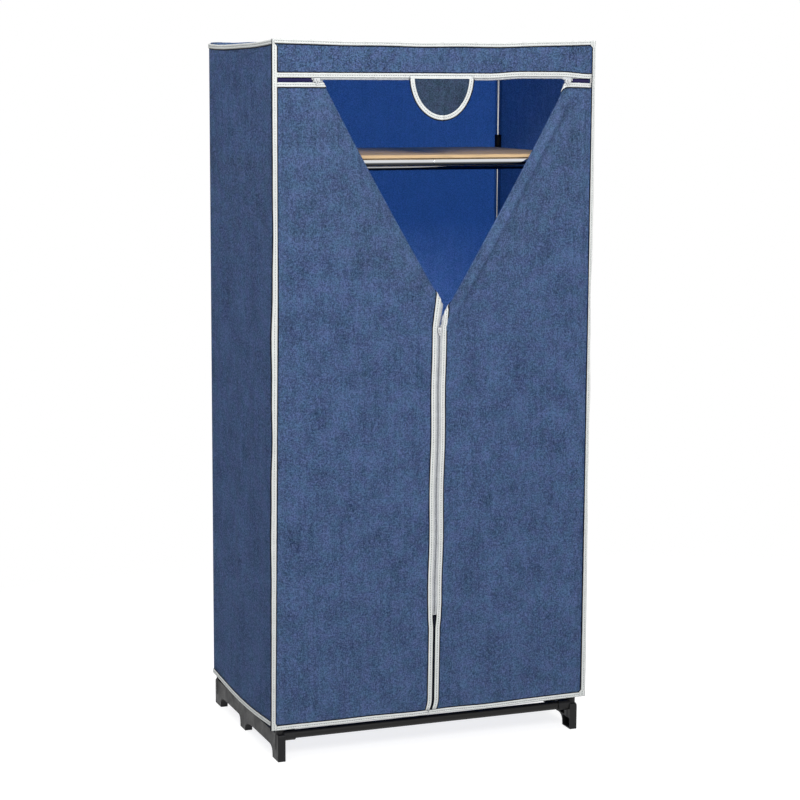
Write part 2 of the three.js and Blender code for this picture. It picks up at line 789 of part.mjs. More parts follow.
function prism(points, from, to, view, holes = []) {
  const outline = new THREE.Shape(points.map(([x, y]) => new THREE.Vector2(x, y)));
  outline.holes.push(...holes);
  const geometry = new THREE.ExtrudeGeometry(outline, {
    depth: to - from,
    bevelEnabled: false,
    curveSegments: 4,
  });
  geometry.translate(0, 0, from);
  geometry.applyMatrix4(view);
  return geometry;
}

// A slider: two plates with flanges that leave a slot for the tape on each side, joined by
// a tongue that parts the coils, and a bridge that the pull tab's bar lies under. The turn
// lays the body along its zip.
function slider(turn) {
  const channel = coilGap / 2 + coilWidth + seatGap;
  const half = channel + sliderWall;
  const end = sliderLength / 2;
  const backFace = coilLow - seatGap - sliderWall;
  const plan = [
    [-half, end - sliderWall], [-channel, end], [channel, end], [half, end - sliderWall],
    [half - sliderWall / 2, -end + sliderWall], [channel, -end],
    [-channel, -end], [-half + sliderWall / 2, -end + sliderWall],
  ];
  const body = cut(solid(prism(plan.reverse(), backFace, sliderFace, facingFront)), [
    block([-channel, -coilHigh - seatGap, -2 * end], [channel, -coilLow + seatGap, 2 * end]),
    block(
      [-2 * half, -tapeRise - tapeThickness - seatGap, -2 * end],
      [2 * half, -tapeRise + seatGap, 2 * end]),
  ]);
  const tongue = solid(block(
    [-coilGap / 2 + seatGap, -coilHigh - sliderWall, end - 2 * sliderWall],
    [coilGap / 2 - seatGap, -coilLow + sliderWall, end - sliderWall / 2]));
  const turned = shell(body.add(tongue));
  turned.rotateY(turn);

  const foot = sliderFace - sliderWall / 2;
  const outer = bridgeLength / 2;
  const inner = outer - bridgeWall;
  const bridge = prism([
    [-outer, foot], [-outer, bridgeTop - bridgeWall], [-inner, bridgeTop],
    [inner, bridgeTop], [outer, bridgeTop - bridgeWall], [outer, foot],
    [inner, foot], [inner, bridgeTop - bridgeWall],
    [-inner, bridgeTop - bridgeWall], [-inner, foot],
  ].reverse(), -bridgeWidth / 2, bridgeWidth / 2, sideView);
  return shell(solid(turned).add(solid(bridge)));
}

// A pull tab hangs from a bar between two arms, widens and ends in a point
function pullTab() {
  const half = tabThickness / 2;
  const window = bridgeWidth / 2 + seatGap;
  const armOuter = window + tabArm;
  const windowFoot = -bridgeLength / 2 - bridgeWall - seatGap;
  const armFoot = windowFoot + tabArm / 2;
  const eye = new THREE.Path([
    [-window, -half], [window, -half], [window, windowFoot], [-window, windowFoot],
  ].map(([x, y]) => new THREE.Vector2(x, y)));
  const hole = new THREE.Path(steps(8).slice(1).map((share) => new THREE.Vector2(
    tabHoleRadius * Math.cos(2 * Math.PI * share),
    windowFoot - tabArm - tabHoleRadius + tabHoleRadius * Math.sin(2 * Math.PI * share))));
  return prism([
    [-armOuter, half], [-armOuter, armFoot], [-tabWidth / 2, windowFoot - tabArm],
    [-tabHoleRadius / 2, -tabLength], [tabHoleRadius / 2, -tabLength],
    [tabWidth / 2, windowFoot - tabArm], [armOuter, armFoot], [armOuter, half],
  ], -half, half, facingFront, [eye, hole]);
}

// A slider and its tab, on a zip whose line passes through the place given
function sliderSet(names, place, turn, tilt) {
  const set = new THREE.Group();
  set.position.set(...place);
  set.rotation.y = tilt;
  wardrobe.add(set);
  piece(names[0], slider(turn), whitePaint, set);
  const tab = piece(names[1], pullTab(), whitePaint, set);
  tab.position.y = -tabAxisRise;
}

// The half-round flap: its top edge is sewn on over the header's binding, and below it the
// cloth stands clear of the sliders that pass behind
const pullCoverTop = headerFoot + pullCoverLap;
const pullCoverRest = bridgeTop + seatGap;
const pullCoverSewn = bindingRise + bindingThickness + seatGap;
const lipAngle = Math.asin(pullCoverLip / pullCoverDrop);

function pullCover() {
  const levels = [
    ...steps(3).slice(0, -1).map((share) => lipAngle * share),
    ...steps(7).map((share) => mix(lipAngle, Math.PI / 2, share)),
  ];
  return sheet(levels.map((angle) => {
    const drop = pullCoverDrop * Math.sin(angle);
    const lift = THREE.MathUtils.smoothstep(drop, 0, pullCoverLip);
    const rise = mix(pullCoverSewn, pullCoverRest, lift);
    const reach = pullCoverWidth / 2 * Math.cos(angle);
    return steps(6).map((share) => {
      const x = pullCoverX + mix(-reach, reach, share);
      const z = pullCoverTop - drop;
      return { front: [x, -faceY - rise - cloth, z], back: [x, -faceY - rise, z] };
    });
  }));
}

function pullCoverBinding() {
  const low = pullCoverRest + cloth + seatGap;
  return sheet(steps(12).map((share) => {
    const angle = mix(lipAngle, Math.PI - lipAngle, share);
    return [0, bindingWidth].map((inset) => {
      const x = pullCoverX + (pullCoverWidth / 2 - inset) * Math.cos(angle);
      const z = pullCoverTop - (pullCoverDrop - inset) * Math.sin(angle);
      return { front: [x, -faceY - low - bindingThickness, z], back: [x, -faceY - low, z] };
    });
  }));
}

piece('cover_top', coverTop(), blueCloth);
piece('cover_back',
  wall([-faceX, faceY], [faceX, faceY], [0, -1], panelRipples), blueCloth);
for (const [sideName, side] of Object.entries(sides)) {
  piece(`cover_side_${sideName}`,
    wall([side * faceX, -sideY], [side * faceX, sideY], [-side, 0], panelRipples), blueCloth);
}
piece('header_band', frontStrip(-faceX, faceX, headerFoot, wallTop, -cloth, 0), blueCloth);
piece('top_piping', topPiping(), whiteBinding);
piece('hem_binding', hemBinding(), whiteBinding);

const stripEnd = width / 2 - bindingWidth - seatGap;
piece('header_binding',
  frontStrip(-stripEnd, stripEnd, headerFoot, headerFoot + bindingWidth,
    bindingRise, bindingRise + bindingThickness), whiteBinding);
piece('header_zip', headerZip(), whiteBinding);

for (const [sideName, side] of Object.entries(sides)) {
  const corner = [side * (width / 2 - bindingWidth), side * width / 2].sort((a, b) => a - b);
  piece(`corner_piping_${sideName}`,
    frontStrip(...corner, hemTop + seatGap, height - bindingWidth - seatGap,
      seatGap, seatGap + pipingThickness), whiteBinding);
  const plan = flapPlan(flapSizes[sideName]);
  piece(`flap_${sideName}`, flap(plan), blueCloth);
  piece(`flap_top_binding_${sideName}`, flapTopBinding(plan), whiteBinding);
  piece(`flap_zip_binding_${sideName}`,
    zipStrip(plan, hemTop + seatGap, bindingSection), whiteBinding);
  piece(`centre_zip_${sideName}`, zipStrip(plan, zipFoot, zipSection), whiteBinding);
}

const zipTilt = Math.atan2(junctionX - slitFootX, junctionHeight - hemHeight);
const centrePark = junctionHeight - sliderLength / 2 - seatGap;
const centreParkX = mix(
  slitFootX, junctionX, (centrePark - hemHeight) / (junctionHeight - hemHeight));
sliderSet(['centre_slider', 'centre_pull_tab'], [centreParkX, -faceY, centrePark], 0, zipTilt);
sliderSet(['top_slider_left', 'top_pull_tab_left'],
  [topZipLeft + sliderPark, -faceY, zipLineZ], Math.PI / 2, 0);
sliderSet(['top_slider_right', 'top_pull_tab_right'],
  [topZipRight - sliderPark, -faceY, zipLineZ], -Math.PI / 2, 0);

piece('pull_cover', pullCover(), blueCloth);
piece('pull_cover_binding', pullCoverBinding(), whiteBinding);

export default wardrobe;
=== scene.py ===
import math

import bpy
import numpy as np
from bpy.props import FloatProperty, FloatVectorProperty, IntProperty, PointerProperty
from mathutils import Matrix, Vector, noise


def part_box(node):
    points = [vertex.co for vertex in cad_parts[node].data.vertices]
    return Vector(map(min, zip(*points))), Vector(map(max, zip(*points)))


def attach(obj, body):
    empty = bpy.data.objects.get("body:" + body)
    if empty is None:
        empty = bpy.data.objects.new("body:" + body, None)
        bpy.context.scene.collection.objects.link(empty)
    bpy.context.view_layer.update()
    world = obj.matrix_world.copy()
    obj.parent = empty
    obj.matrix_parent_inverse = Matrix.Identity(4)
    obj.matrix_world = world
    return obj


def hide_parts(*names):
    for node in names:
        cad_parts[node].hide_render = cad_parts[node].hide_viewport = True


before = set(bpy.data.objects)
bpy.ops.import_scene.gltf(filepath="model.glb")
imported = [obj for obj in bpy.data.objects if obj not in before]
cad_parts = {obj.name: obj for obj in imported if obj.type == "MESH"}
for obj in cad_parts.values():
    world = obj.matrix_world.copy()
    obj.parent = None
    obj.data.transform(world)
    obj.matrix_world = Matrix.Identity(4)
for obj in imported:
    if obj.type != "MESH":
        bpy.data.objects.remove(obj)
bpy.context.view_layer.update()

bl_info = {
    "name": "Fabric Wardrobe",
    "version": (1, 0, 0),
    "blender": (4, 5, 0),
    "location": "3D View > Sidebar > Wardrobe",
    "description": "Dresses the frame of a portable fabric wardrobe: tubes, joints and cover",
    "category": "Object",
}

# The part's own sizes, in metres, as its solids have them
WIDTH, DEPTH, HEIGHT = 0.750, 0.510, 1.600
PIPING = 0.0024
# The cloth's outer faces, and the height of the cover's foot
FACE_X, FACE_Y, TOP_FACE = 0.3723, 0.2523, 1.597
HEM = 0.075
# The frame: its posts' middles, its levels, and the radii of tubes, bars and sockets
POST_X, POST_Y = 0.3605, 0.2328
SHELF_Z, TOP_TUBE_Z = 1.334, 1.5852
TUBE_R, BASE_BAR_R, COLLAR_R = 0.008, 0.010, 0.0105
PLUG = 0.022
# The door: the edges beside the top zip, the zip's foot, the place of its slider and of
# the slit at the hem, and where the top zip's sliders stand
HEADER_FOOT, ZIP_LINE, FLAP_TOP = 1.5175, 1.5125, 1.5075
ZIP_FOOT = 0.308
JUNCTION_X, JUNCTION_Z = 0.011, 0.967
SLIT_X = 0.0015
TOP_ZIP_LEFT, TOP_ZIP_RIGHT = -0.290, 0.329
# The half-round flap: its middle, its top, half its width and its height
COVER_X, COVER_TOP, COVER_HALF, COVER_DROP = 0.010, 1.5215, 0.075, 0.095

# Sizes that only the dressed model has: how far the front's cloth runs into the corner
# seams, left and right; where a folded corner stops, short of the frame's side; how far
# a binding stands out on the front; where the header's binding and zip end
FRONT_REACH = {-1: 0.3757, 1: 0.3773}
FOLD_LIMIT = 0.3645
FRONT_RISE = 0.0014
HEADER_REACH = FACE_X - 0.0016

SIDES = (("left", -1), ("right", 1))
ENDS = (("front", -1), ("back", 1))
BODY = "wardrobe"


# ---- Sizes and colours a user would change

def linear(hex_colour):
    """An sRGB hex colour as linear red, green, blue, and an alpha of 1."""
    channels = [int(hex_colour[i:i + 2], 16) / 255 for i in (1, 3, 5)]
    return tuple(c / 12.92 if c <= 0.04045 else ((c + 0.055) / 1.055) ** 2.4
                 for c in channels) + (1.0,)


def colour_setting(name, description, hex_colour):
    return FloatVectorProperty(
        name=name, description=description, subtype="COLOR", size=4, min=0, max=1,
        default=linear(hex_colour))


def length_setting(name, description, metres):
    return FloatProperty(
        name=name, description=description, default=metres, min=0, unit="LENGTH",
        subtype="DISTANCE", precision=5)


class WardrobeSizes(bpy.types.PropertyGroup):
    cloth: length_setting("Cloth", "Thickness of the non-woven cloth", 0.0006)
    binding_width: length_setting("Binding width", "Width of the sewn edge binding", 0.010)
    # The dark strip beside a binding is painted shade; this is its width
    shade_strip_width: length_setting("Seam width", "Cloth edge that shows beside a binding", 0.0024)
    stitch_pitch: length_setting("Stitch pitch", "From one stitch to the next", 0.0056)
    fold_radius: length_setting("Fold radius", "Radius that a flap is folded round", 0.0025)
    coil_pitch: length_setting("Coil pitch", "From one zip tooth to the next", 0.0018)
    wrinkle: length_setting("Wrinkle height", "How far the walls' soft folds stand out", 0.0024)
    tube_wall: length_setting("Tube wall", "Wall of the thin steel tubes", 0.0008)
    tube_sides: IntProperty(
        name="Tube sides", description="Faces round a tube", default=40, min=12, max=96)


class WardrobeColours(bpy.types.PropertyGroup):
    cloth: colour_setting("Cloth", "Outside of the cover", "#556a88")
    # Painted light: the inside is drawn a brighter, deeper blue, as the cloth looks lit through
    # from outside
    lining: colour_setting("Cloth inside", "Inside of the cover", "#2f63a6")
    glow: colour_setting(
        "Cloth against light", "What one face of the cloth lets through", "#7fb0f0")
    # Painted shade: the near-black of the strips beside the bindings and of the sheet behind
    # the door's slit
    seam: colour_setting("Seam", "Turned edge of the cloth beside a binding", "#0b0f1d")
    binding: colour_setting("Binding", "White edge binding", "#ebeeec")
    thread: colour_setting("Thread", "Stitching of the bindings", "#858e94")
    zip_white: colour_setting("Zip", "Zip tape and coil", "#e6e9ec")
    enamel: colour_setting("Slider enamel", "White enamel of sliders and tabs", "#e9ebed")
    chrome: colour_setting("Chrome", "Plated steel tube", "#d9dbde")
    plastic: colour_setting("Moulded plastic", "Black joints and base ends", "#0c0c0e")
    powder: colour_setting("Powder coat", "Black base bars", "#0d0b0a")
    board: colour_setting("Shelf board", "Face and edge of the shelf", "#e3c193")
    floor: colour_setting("Floor", "Pale floor under the wardrobe", "#a4a4a4")


def sizes():
    return bpy.context.scene.wardrobe_sizes


def half_binding():
    return sizes().binding_width / 2


# ---- Materials

def add_node(tree, kind, sockets=None, stops=(), **settings):
    """Adds a shader node of a kind. A socket takes a value, or a (node, output) pair to
    link from, and stops are the places and colours of a ramp."""
    made = tree.nodes.new("ShaderNode" + kind)
    for key, value in settings.items():
        setattr(made, key, value)
    for key, value in (sockets or {}).items():
        if isinstance(value, tuple) and isinstance(value[0], bpy.types.Node):
            tree.links.new(value[0].outputs[value[1]], made.inputs[key])
        else:
            made.inputs[key].default_value = value
    for number, (position, value) in enumerate(stops):
        ramp = made.color_ramp.elements
        element = ramp[number] if number < len(ramp) else ramp.new(position)
        element.position, element.color = position, value
    return made


def shaded(colour, share):
    """A colour made lighter or darker by a share."""
    return tuple(min(c * share, 1) for c in colour[:3]) + (1,)


def grey(value):
    return (value,) * 3 + (1,)


def begin(name):
    """A new material with an empty tree."""
    material = bpy.data.materials.new(name)
    material.use_nodes = True
    material.node_tree.nodes.clear()
    return material, material.node_tree


def shade_in_crevices(tree, tint, reach):
    """A ramp's colour made darker where other faces stand within reach: painted shade in
    crevices, as a (node, output) pair."""
    open_share = add_node(tree, "AmbientOcclusion", {"Distance": reach}, samples=6)
    crevice_shade = add_node(tree, "ValToRGB", {"Fac": (open_share, "AO")}, [
        (0.30, (0.20, 0.21, 0.24, 1)), (0.85, (1, 1, 1, 1))])
    crevice_shaded = add_node(tree, "Mix", {
        "Factor": 1.0, 6: (tint, "Color"), 7: (crevice_shade, "Color")},
        data_type="RGBA", blend_type="MULTIPLY")
    return crevice_shaded, 2


def nonwoven_cloth(name, colour, contrast, through):
    """Spunbond polypropylene: matt, a little cloudy where fibres lie thicker, with bond
    points pressed into it, and thin enough to glow where it is lit from behind. Its
    speckle is what the eye sees first."""
    material, tree = begin(name)
    flat = add_node(tree, "TexCoord"), "UV"
    # Clouds of thicker and thinner web, 60 mm across
    clouds = add_node(tree, "TexNoise", {
        "Vector": flat, "Scale": 1 / 0.060, "Detail": 3.0, "Roughness": 0.55})
    # Fibres lie mostly along the web: streaks 9 mm apart and 90 mm long
    along = add_node(tree, "Mapping", {"Vector": flat, "Scale": (1.0, 0.1, 1.0)})
    streaks = add_node(tree, "TexNoise", {
        "Vector": (along, "Vector"), "Scale": 1 / 0.009, "Detail": 2.0, "Roughness": 0.6})
    # Clumps of fibre are 2 mm across; drawn at 4 mm so that they show
    clumps = add_node(tree, "TexNoise", {
        "Vector": flat, "Scale": 1 / 0.004, "Detail": 2.0, "Roughness": 0.85})
    # Bond points are 0.8 mm apart; drawn at 2.6 mm so that they show
    points = add_node(tree, "TexVoronoi", {
        "Vector": flat, "Scale": 1 / 0.0026, "Randomness": 0.8})
    weave = add_node(tree, "Mix", {
        "Factor": 0.45, 2: (clumps, "Fac"), 3: (points, "Distance")}, data_type="FLOAT")
    body = add_node(tree, "Mix", {
        "Factor": 0.45, 2: (clouds, "Fac"), 3: (streaks, "Fac")}, data_type="FLOAT")
    tone = add_node(tree, "Mix", {
        "Factor": 0.72, 2: (body, 0), 3: (weave, 0)}, data_type="FLOAT")
    tint = add_node(tree, "ValToRGB", {"Fac": (tone, 0)}, [
        (0.36, shaded(colour, 1 - contrast)), (0.48, colour),
        (0.60, shaded(colour, 1 + contrast * 1.2))])
    # The dye takes a little warmer and cooler in places 25 mm across
    dye = add_node(tree, "TexNoise", {
        "Vector": flat, "Scale": 1 / 0.025, "Detail": 2.0, "Roughness": 0.6})
    cast = add_node(tree, "ValToRGB", {"Fac": (dye, "Fac")}, [
        (0.38, (0.87, 0.98, 0.95, 1)), (0.62, (1.0, 0.92, 1.0, 1))])
    dyed = add_node(tree, "Mix", {
        "Factor": 1.0, 6: (tint, "Color"), 7: (cast, "Color")},
        data_type="RGBA", blend_type="MULTIPLY")
    relief = add_node(tree, "Mix", {
        "Factor": 0.5, 2: (clumps, "Fac"), 3: (points, "Distance")}, data_type="FLOAT")
    bump = add_node(tree, "Bump", {
        "Strength": 0.4, "Distance": 0.0006, "Height": (relief, 0)})
    shader = add_node(tree, "BsdfPrincipled", {
        "Base Color": (dyed, 2), "Roughness": 0.88, "IOR": 1.49,
        "Specular IOR Level": 0.15, "Sheen Weight": 0.08, "Sheen Roughness": 0.5,
        "Sheen Tint": linear("#7f9bd0"), "Normal": (bump, "Normal")})
    glow = add_node(tree, "BsdfTranslucent", {"Color": through})
    both = add_node(tree, "MixShader", {0: 0.35, 1: (shader, 0), 2: (glow, 0)})
    add_node(tree, "OutputMaterial", {"Surface": (both, 0)})
    return material


def sewn_tape(name, colour, rib, roughness):
    """White polypropylene tape: fine ribs along it, and painted shade in its creases."""
    material, tree = begin(name)
    flat = add_node(tree, "TexCoord"), "UV"
    # Ribs are 0.4 mm apart; drawn 2.5 to 5 mm apart so that they show. The wave repeats
    # every 2 pi / 20 of its scale, so the value given is their distance over 2 pi
    ribs = add_node(tree, "TexWave", {
        "Vector": flat, "Scale": 1 / (20 * rib), "Distortion": 1.5, "Detail": 1.0},
        bands_direction="X")
    # Soiling and thin places every 20 mm or so
    cloud = add_node(tree, "TexNoise", {
        "Vector": flat, "Scale": 1 / 0.020, "Detail": 4.0, "Roughness": 0.6})
    tone = add_node(tree, "Mix", {
        "Factor": 0.35, 2: (cloud, "Fac"), 3: (ribs, "Fac")}, data_type="FLOAT")
    tint = add_node(tree, "ValToRGB", {"Fac": (tone, 0)}, [
        (0.25, shaded(colour, 0.84)), (0.55, colour), (0.8, shaded(colour, 1.05))])
    bump = add_node(tree, "Bump", {
        "Strength": 0.25, "Distance": 0.0003, "Height": (tone, 0)})
    # Painted shade: the tape is drawn darker where other faces stand within 4.5 mm
    shader = add_node(tree, "BsdfPrincipled", {
        "Base Color": shade_in_crevices(tree, tint, 0.0045), "Roughness": roughness, "IOR": 1.49,
        "Specular IOR Level": 0.35, "Normal": (bump, "Normal")})
    add_node(tree, "OutputMaterial", {"Surface": (shader, 0)})
    return material


def plated_tube(name, colour):
    """Bright chrome on drawn steel tube: mirror-like and dulled a little by handling. Faces
    that look down are drawn dark: a painted reflection of dark surroundings below."""
    material, tree = begin(name)
    place = add_node(tree, "TexCoord")
    # Handling marks about 12 mm apart
    marks = add_node(tree, "TexNoise", {
        "Vector": (place, "Object"), "Scale": 1 / 0.012, "Detail": 5.0, "Roughness": 0.6})
    rough = add_node(tree, "ValToRGB", {"Fac": (marks, "Fac")}, [
        (0.35, grey(0.05)), (0.75, grey(0.16))])
    # Painted reflection: faces that look down are drawn near black
    face = add_node(tree, "NewGeometry")
    way = add_node(tree, "SeparateXYZ", {"Vector": (face, "Normal")})
    painted_reflection_mask = add_node(tree, "MapRange", {
        "Value": (way, "Z"), "From Min": -0.30, "From Max": 0.05})
    tint = add_node(tree, "ValToRGB", {"Fac": (painted_reflection_mask, "Result")}, [
        (0.0, shaded(colour, 0.06)), (1.0, colour)])
    bump = add_node(tree, "Bump", {
        "Strength": 0.05, "Distance": 0.0002, "Height": (marks, "Fac")})
    shader = add_node(tree, "BsdfPrincipled", {
        "Base Color": (tint, "Color"), "Metallic": 1.0, "Roughness": (rough, "Color"),
        "Normal": (bump, "Normal")})
    add_node(tree, "OutputMaterial", {"Surface": (shader, 0)})
    return material


def moulded_plastic(name, colour, grain, roughness):
    """Black polypropylene or powder coat: a fine spark-eroded or orange-peel grain that
    breaks up a soft highlight, with dust-dull patches."""
    material, tree = begin(name)
    place = add_node(tree, "TexCoord"), "Object"
    skin = add_node(tree, "TexNoise", {
        "Vector": place, "Scale": 1 / grain, "Detail": 3.0, "Roughness": 0.6})
    # Scuffs about 30 mm across
    scuffs = add_node(tree, "TexNoise", {
        "Vector": place, "Scale": 1 / 0.030, "Detail": 5.0, "Roughness": 0.65})
    tint = add_node(tree, "ValToRGB", {"Fac": (scuffs, "Fac")}, [
        (0.3, shaded(colour, 0.75)), (0.6, colour), (0.78, shaded(colour, 1.7))])
    rough = add_node(tree, "ValToRGB", {"Fac": (scuffs, "Fac")}, [
        (0.3, grey(roughness * 0.85)), (0.7, grey(min(roughness * 1.3, 1)))])
    bump = add_node(tree, "Bump", {
        "Strength": 0.3, "Distance": 0.0003, "Height": (skin, "Fac")})
    shader = add_node(tree, "BsdfPrincipled", {
        "Base Color": (tint, "Color"), "Roughness": (rough, "Color"), "IOR": 1.49,
        "Specular IOR Level": 0.3, "Normal": (bump, "Normal")})
    add_node(tree, "OutputMaterial", {"Surface": (shader, 0)})
    return material


def enamelled_zinc(name, colour):
    """Die-cast zinc under white enamel: smooth, glossy, a little orange peel."""
    material, tree = begin(name)
    place = add_node(tree, "TexCoord")
    # Enamel ripples about 1.5 mm apart
    peel = add_node(tree, "TexNoise", {
        "Vector": (place, "Object"), "Scale": 1 / 0.0015, "Detail": 2.0})
    tint = add_node(tree, "ValToRGB", {"Fac": (peel, "Fac")}, [
        (0.3, shaded(colour, 0.93)), (0.7, colour)])
    bump = add_node(tree, "Bump", {
        "Strength": 0.15, "Distance": 0.0001, "Height": (peel, "Fac")})
    # Painted shade: the enamel is drawn darker where other faces stand within 2.5 mm
    shader = add_node(tree, "BsdfPrincipled", {
        "Base Color": shade_in_crevices(tree, tint, 0.0025), "Roughness": 0.28, "IOR": 1.5,
        "Coat Weight": 0.4, "Coat Roughness": 0.1, "Normal": (bump, "Normal")})
    add_node(tree, "OutputMaterial", {"Surface": (shader, 0)})
    return material


def faced_board(name, colour):
    """Thin fibreboard with a pale printed wood face: long soft grain, satin."""
    material, tree = begin(name)
    place = add_node(tree, "TexCoord")
    # Grain lines about 4 mm apart, drawn out along X
    stretched = add_node(tree, "Mapping", {
        "Vector": (place, "Object"), "Scale": (0.06, 1.0, 1.0)})
    grain = add_node(tree, "TexNoise", {
        "Vector": (stretched, "Vector"), "Scale": 1 / 0.004, "Detail": 6.0,
        "Roughness": 0.65, "Distortion": 0.6})
    tint = add_node(tree, "ValToRGB", {"Fac": (grain, "Fac")}, [
        (0.3, shaded(colour, 0.78)), (0.52, colour), (0.75, shaded(colour, 1.12))])
    bump = add_node(tree, "Bump", {
        "Strength": 0.12, "Distance": 0.0003, "Height": (grain, "Fac")})
    shader = add_node(tree, "BsdfPrincipled", {
        "Base Color": (tint, "Color"), "Roughness": 0.5, "IOR": 1.5,
        "Normal": (bump, "Normal")})
    add_node(tree, "OutputMaterial", {"Surface": (shader, 0)})
    return material


FINISHES = {}


def finishes():
    """The materials, made once."""
    if not FINISHES:
        group = bpy.context.scene.wardrobe_colours
        c = {name: getattr(group, name)[:] for name in group.__annotations__}
        FINISHES.update(
            cloth=nonwoven_cloth("nonwoven polypropylene cloth", c["cloth"], 0.82, c["glow"]),
            # The inside's brighter blue is painted light through the cloth
            lining=nonwoven_cloth("nonwoven cloth inside", c["lining"], 0.16, c["glow"]),
            # The half-round flap is the cover's cloth drawn at 0.62 of its colour: painted
            # shade. Being doubled, it lets only near-black through
            patch=nonwoven_cloth(
                "doubled nonwoven cloth", shaded(c["cloth"], 0.62), 0.5, c["seam"]),
            # The near-black strips beside the bindings are painted shade
            seam=moulded_plastic("turned cloth edge", c["seam"], 0.002, 0.8),
            binding=sewn_tape("polypropylene binding tape", c["binding"], 0.0008, 0.75),
            tape=sewn_tape("woven zip tape", c["zip_white"], 0.0006, 0.8),
            coil=sewn_tape("nylon zip coil", c["zip_white"], 0.0005, 0.4),
            thread=sewn_tape("sewing thread", c["thread"], 0.0004, 0.7),
            chrome=plated_tube("chromed steel tube", c["chrome"]),
            plastic=moulded_plastic("moulded polypropylene", c["plastic"], 0.0011, 0.5),
            powder=moulded_plastic("black powder coat", c["powder"], 0.0022, 0.46),
            enamel=enamelled_zinc("white enamelled zinc", c["enamel"]),
            board=faced_board("pale faced fibreboard", c["board"]),
            # The underlap is cloth drawn dark navy, darker than the cover's: painted shade
            underlap=moulded_plastic("cloth underlap", linear("#2e2a5c"), 0.002, 0.9),
            # A near-black sheet behind the door's slit: painted shade
            guard=moulded_plastic("cloth zip guard", c["seam"], 0.002, 0.9),
        )
    return FINISHES


# ---- Making and settling pieces

def deselect():
    if bpy.context.mode != "OBJECT":
        bpy.ops.object.mode_set(mode="OBJECT")
    bpy.ops.object.select_all(action="DESELECT")


def pick(obj):
    deselect()
    obj.select_set(True)
    bpy.context.view_layer.objects.active = obj


def edit_all(obj):
    """Opens a piece in edit mode with all of it selected."""
    pick(obj)
    bpy.ops.object.mode_set(mode="EDIT")
    bpy.ops.mesh.select_all(action="SELECT")


def face_outwards(obj):
    """Turns every closed part of a piece to face outwards."""
    edit_all(obj)
    bpy.ops.mesh.normals_make_consistent(inside=False)
    bpy.ops.object.mode_set(mode="OBJECT")


def give_wall(obj, thickness, offset, material_offset=0):
    """Gives a surface its thickness; offset -1 puts it all on the inner side."""
    wall = obj.modifiers.new("Wall", "SOLIDIFY")
    wall.thickness, wall.offset, wall.material_offset = thickness, offset, material_offset
    apply_modifiers(obj)


def apply_modifiers(obj):
    pick(obj)
    for modifier in list(obj.modifiers):
        bpy.ops.object.modifier_apply(modifier=modifier.name)


def apply_place(obj):
    pick(obj)
    bpy.ops.object.transform_apply(location=True, rotation=True, scale=True)


def settle(obj, node, slot, *names, body=BODY):
    """Puts a finished piece's place into its mesh, and gives it its finishes and body."""
    apply_place(obj)
    indices = [polygon.material_index for polygon in obj.data.polygons]
    obj.data.materials.clear()
    for name in names:
        obj.data.materials.append(finishes()[name])
    obj.data.polygons.foreach_set("material_index", indices)
    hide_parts(node)
    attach(obj, body)
    return obj


def mesh_object(name, vertices, faces, flat, materials=None):
    """A mesh whose corners carry the flat pattern's place in metres as their UV map."""
    mesh = bpy.data.meshes.new(name)
    mesh.from_pydata([tuple(v) for v in vertices], [], faces)
    order = np.zeros(len(mesh.loops), dtype=np.int32)
    mesh.loops.foreach_get("vertex_index", order)
    layer = mesh.uv_layers.new(name="Flat")
    layer.data.foreach_set("uv", np.asarray(flat, np.float32)[order].ravel())
    if materials is not None:
        mesh.polygons.foreach_set("material_index", materials)
    mesh.shade_smooth()
    mesh.update()
    obj = bpy.data.objects.new(name, mesh)
    bpy.context.scene.collection.objects.link(obj)
    return obj


def grid_faces(rows, columns, closed=False):
    """The quads of a grid of points; closed joins the last column to the first."""
    return [(i * columns + j, i * columns + (j + 1) % columns,
             (i + 1) * columns + (j + 1) % columns, (i + 1) * columns + j)
            for i in range(rows - 1) for j in range(columns if closed else columns - 1)]


def cloth_sheet(name, points, flat, outward):
    """Cloth from a grid of points: the points are its outer face, and its thickness goes
    inwards. The inner face takes the second material."""
    points = np.asarray(points, float)
    rows, columns = points.shape[:2]
    faces = grid_faces(rows, columns)
    row, column = rows // 2, columns // 2
    across = points[row, column + 1] - points[row, column]
    along = points[row + 1, column] - points[row, column]
    if np.dot(np.cross(across, along), outward) < 0:
        faces = [face[::-1] for face in faces]
    obj = mesh_object(
        name, points.reshape(-1, 3), faces, np.asarray(flat, float).reshape(-1, 2))
    edit_all(obj)
    bpy.ops.mesh.remove_doubles(threshold=0.00002)
    bpy.ops.mesh.dissolve_degenerate(threshold=0.00002)
    bpy.ops.object.mode_set(mode="OBJECT")
    give_wall(obj, sizes().cloth, -1, material_offset=1)
    return obj


def hang(node, points, pattern, outward, area=None):
    """One cut of the cover's cloth in a node's place; the size it was cut to, area, is not
    used. Its pattern is the flat place of each of its points."""
    name = "cloth_" + node.removeprefix("cover_").removesuffix("_band")
    panel = cloth_sheet(name, points, pattern, outward)
    settle(panel, node, "blue_cloth", "cloth", "lining")


def smooth(value, low, high):
    """A smooth step from 0 at low to 1 at high."""
    t = np.clip((np.asarray(value, float) - low) / (high - low), 0, 1)
    return t * t * (3 - 2 * t)


def arch(share, power=2):
    """0 at both ends and 1 in the middle; the lower the power, the fuller the arch."""
    return np.sin(np.pi * np.clip(share, 0, 1)) ** power


def stack(*values):
    """Coordinates given one by one, each a number or an array, as rows of points."""
    return np.stack(np.broadcast_arrays(*values), -1)


def merged(*runs, digits=7):
    """Runs of stations as one run in order, each station once."""
    return np.unique(np.round(np.concatenate(runs), digits))


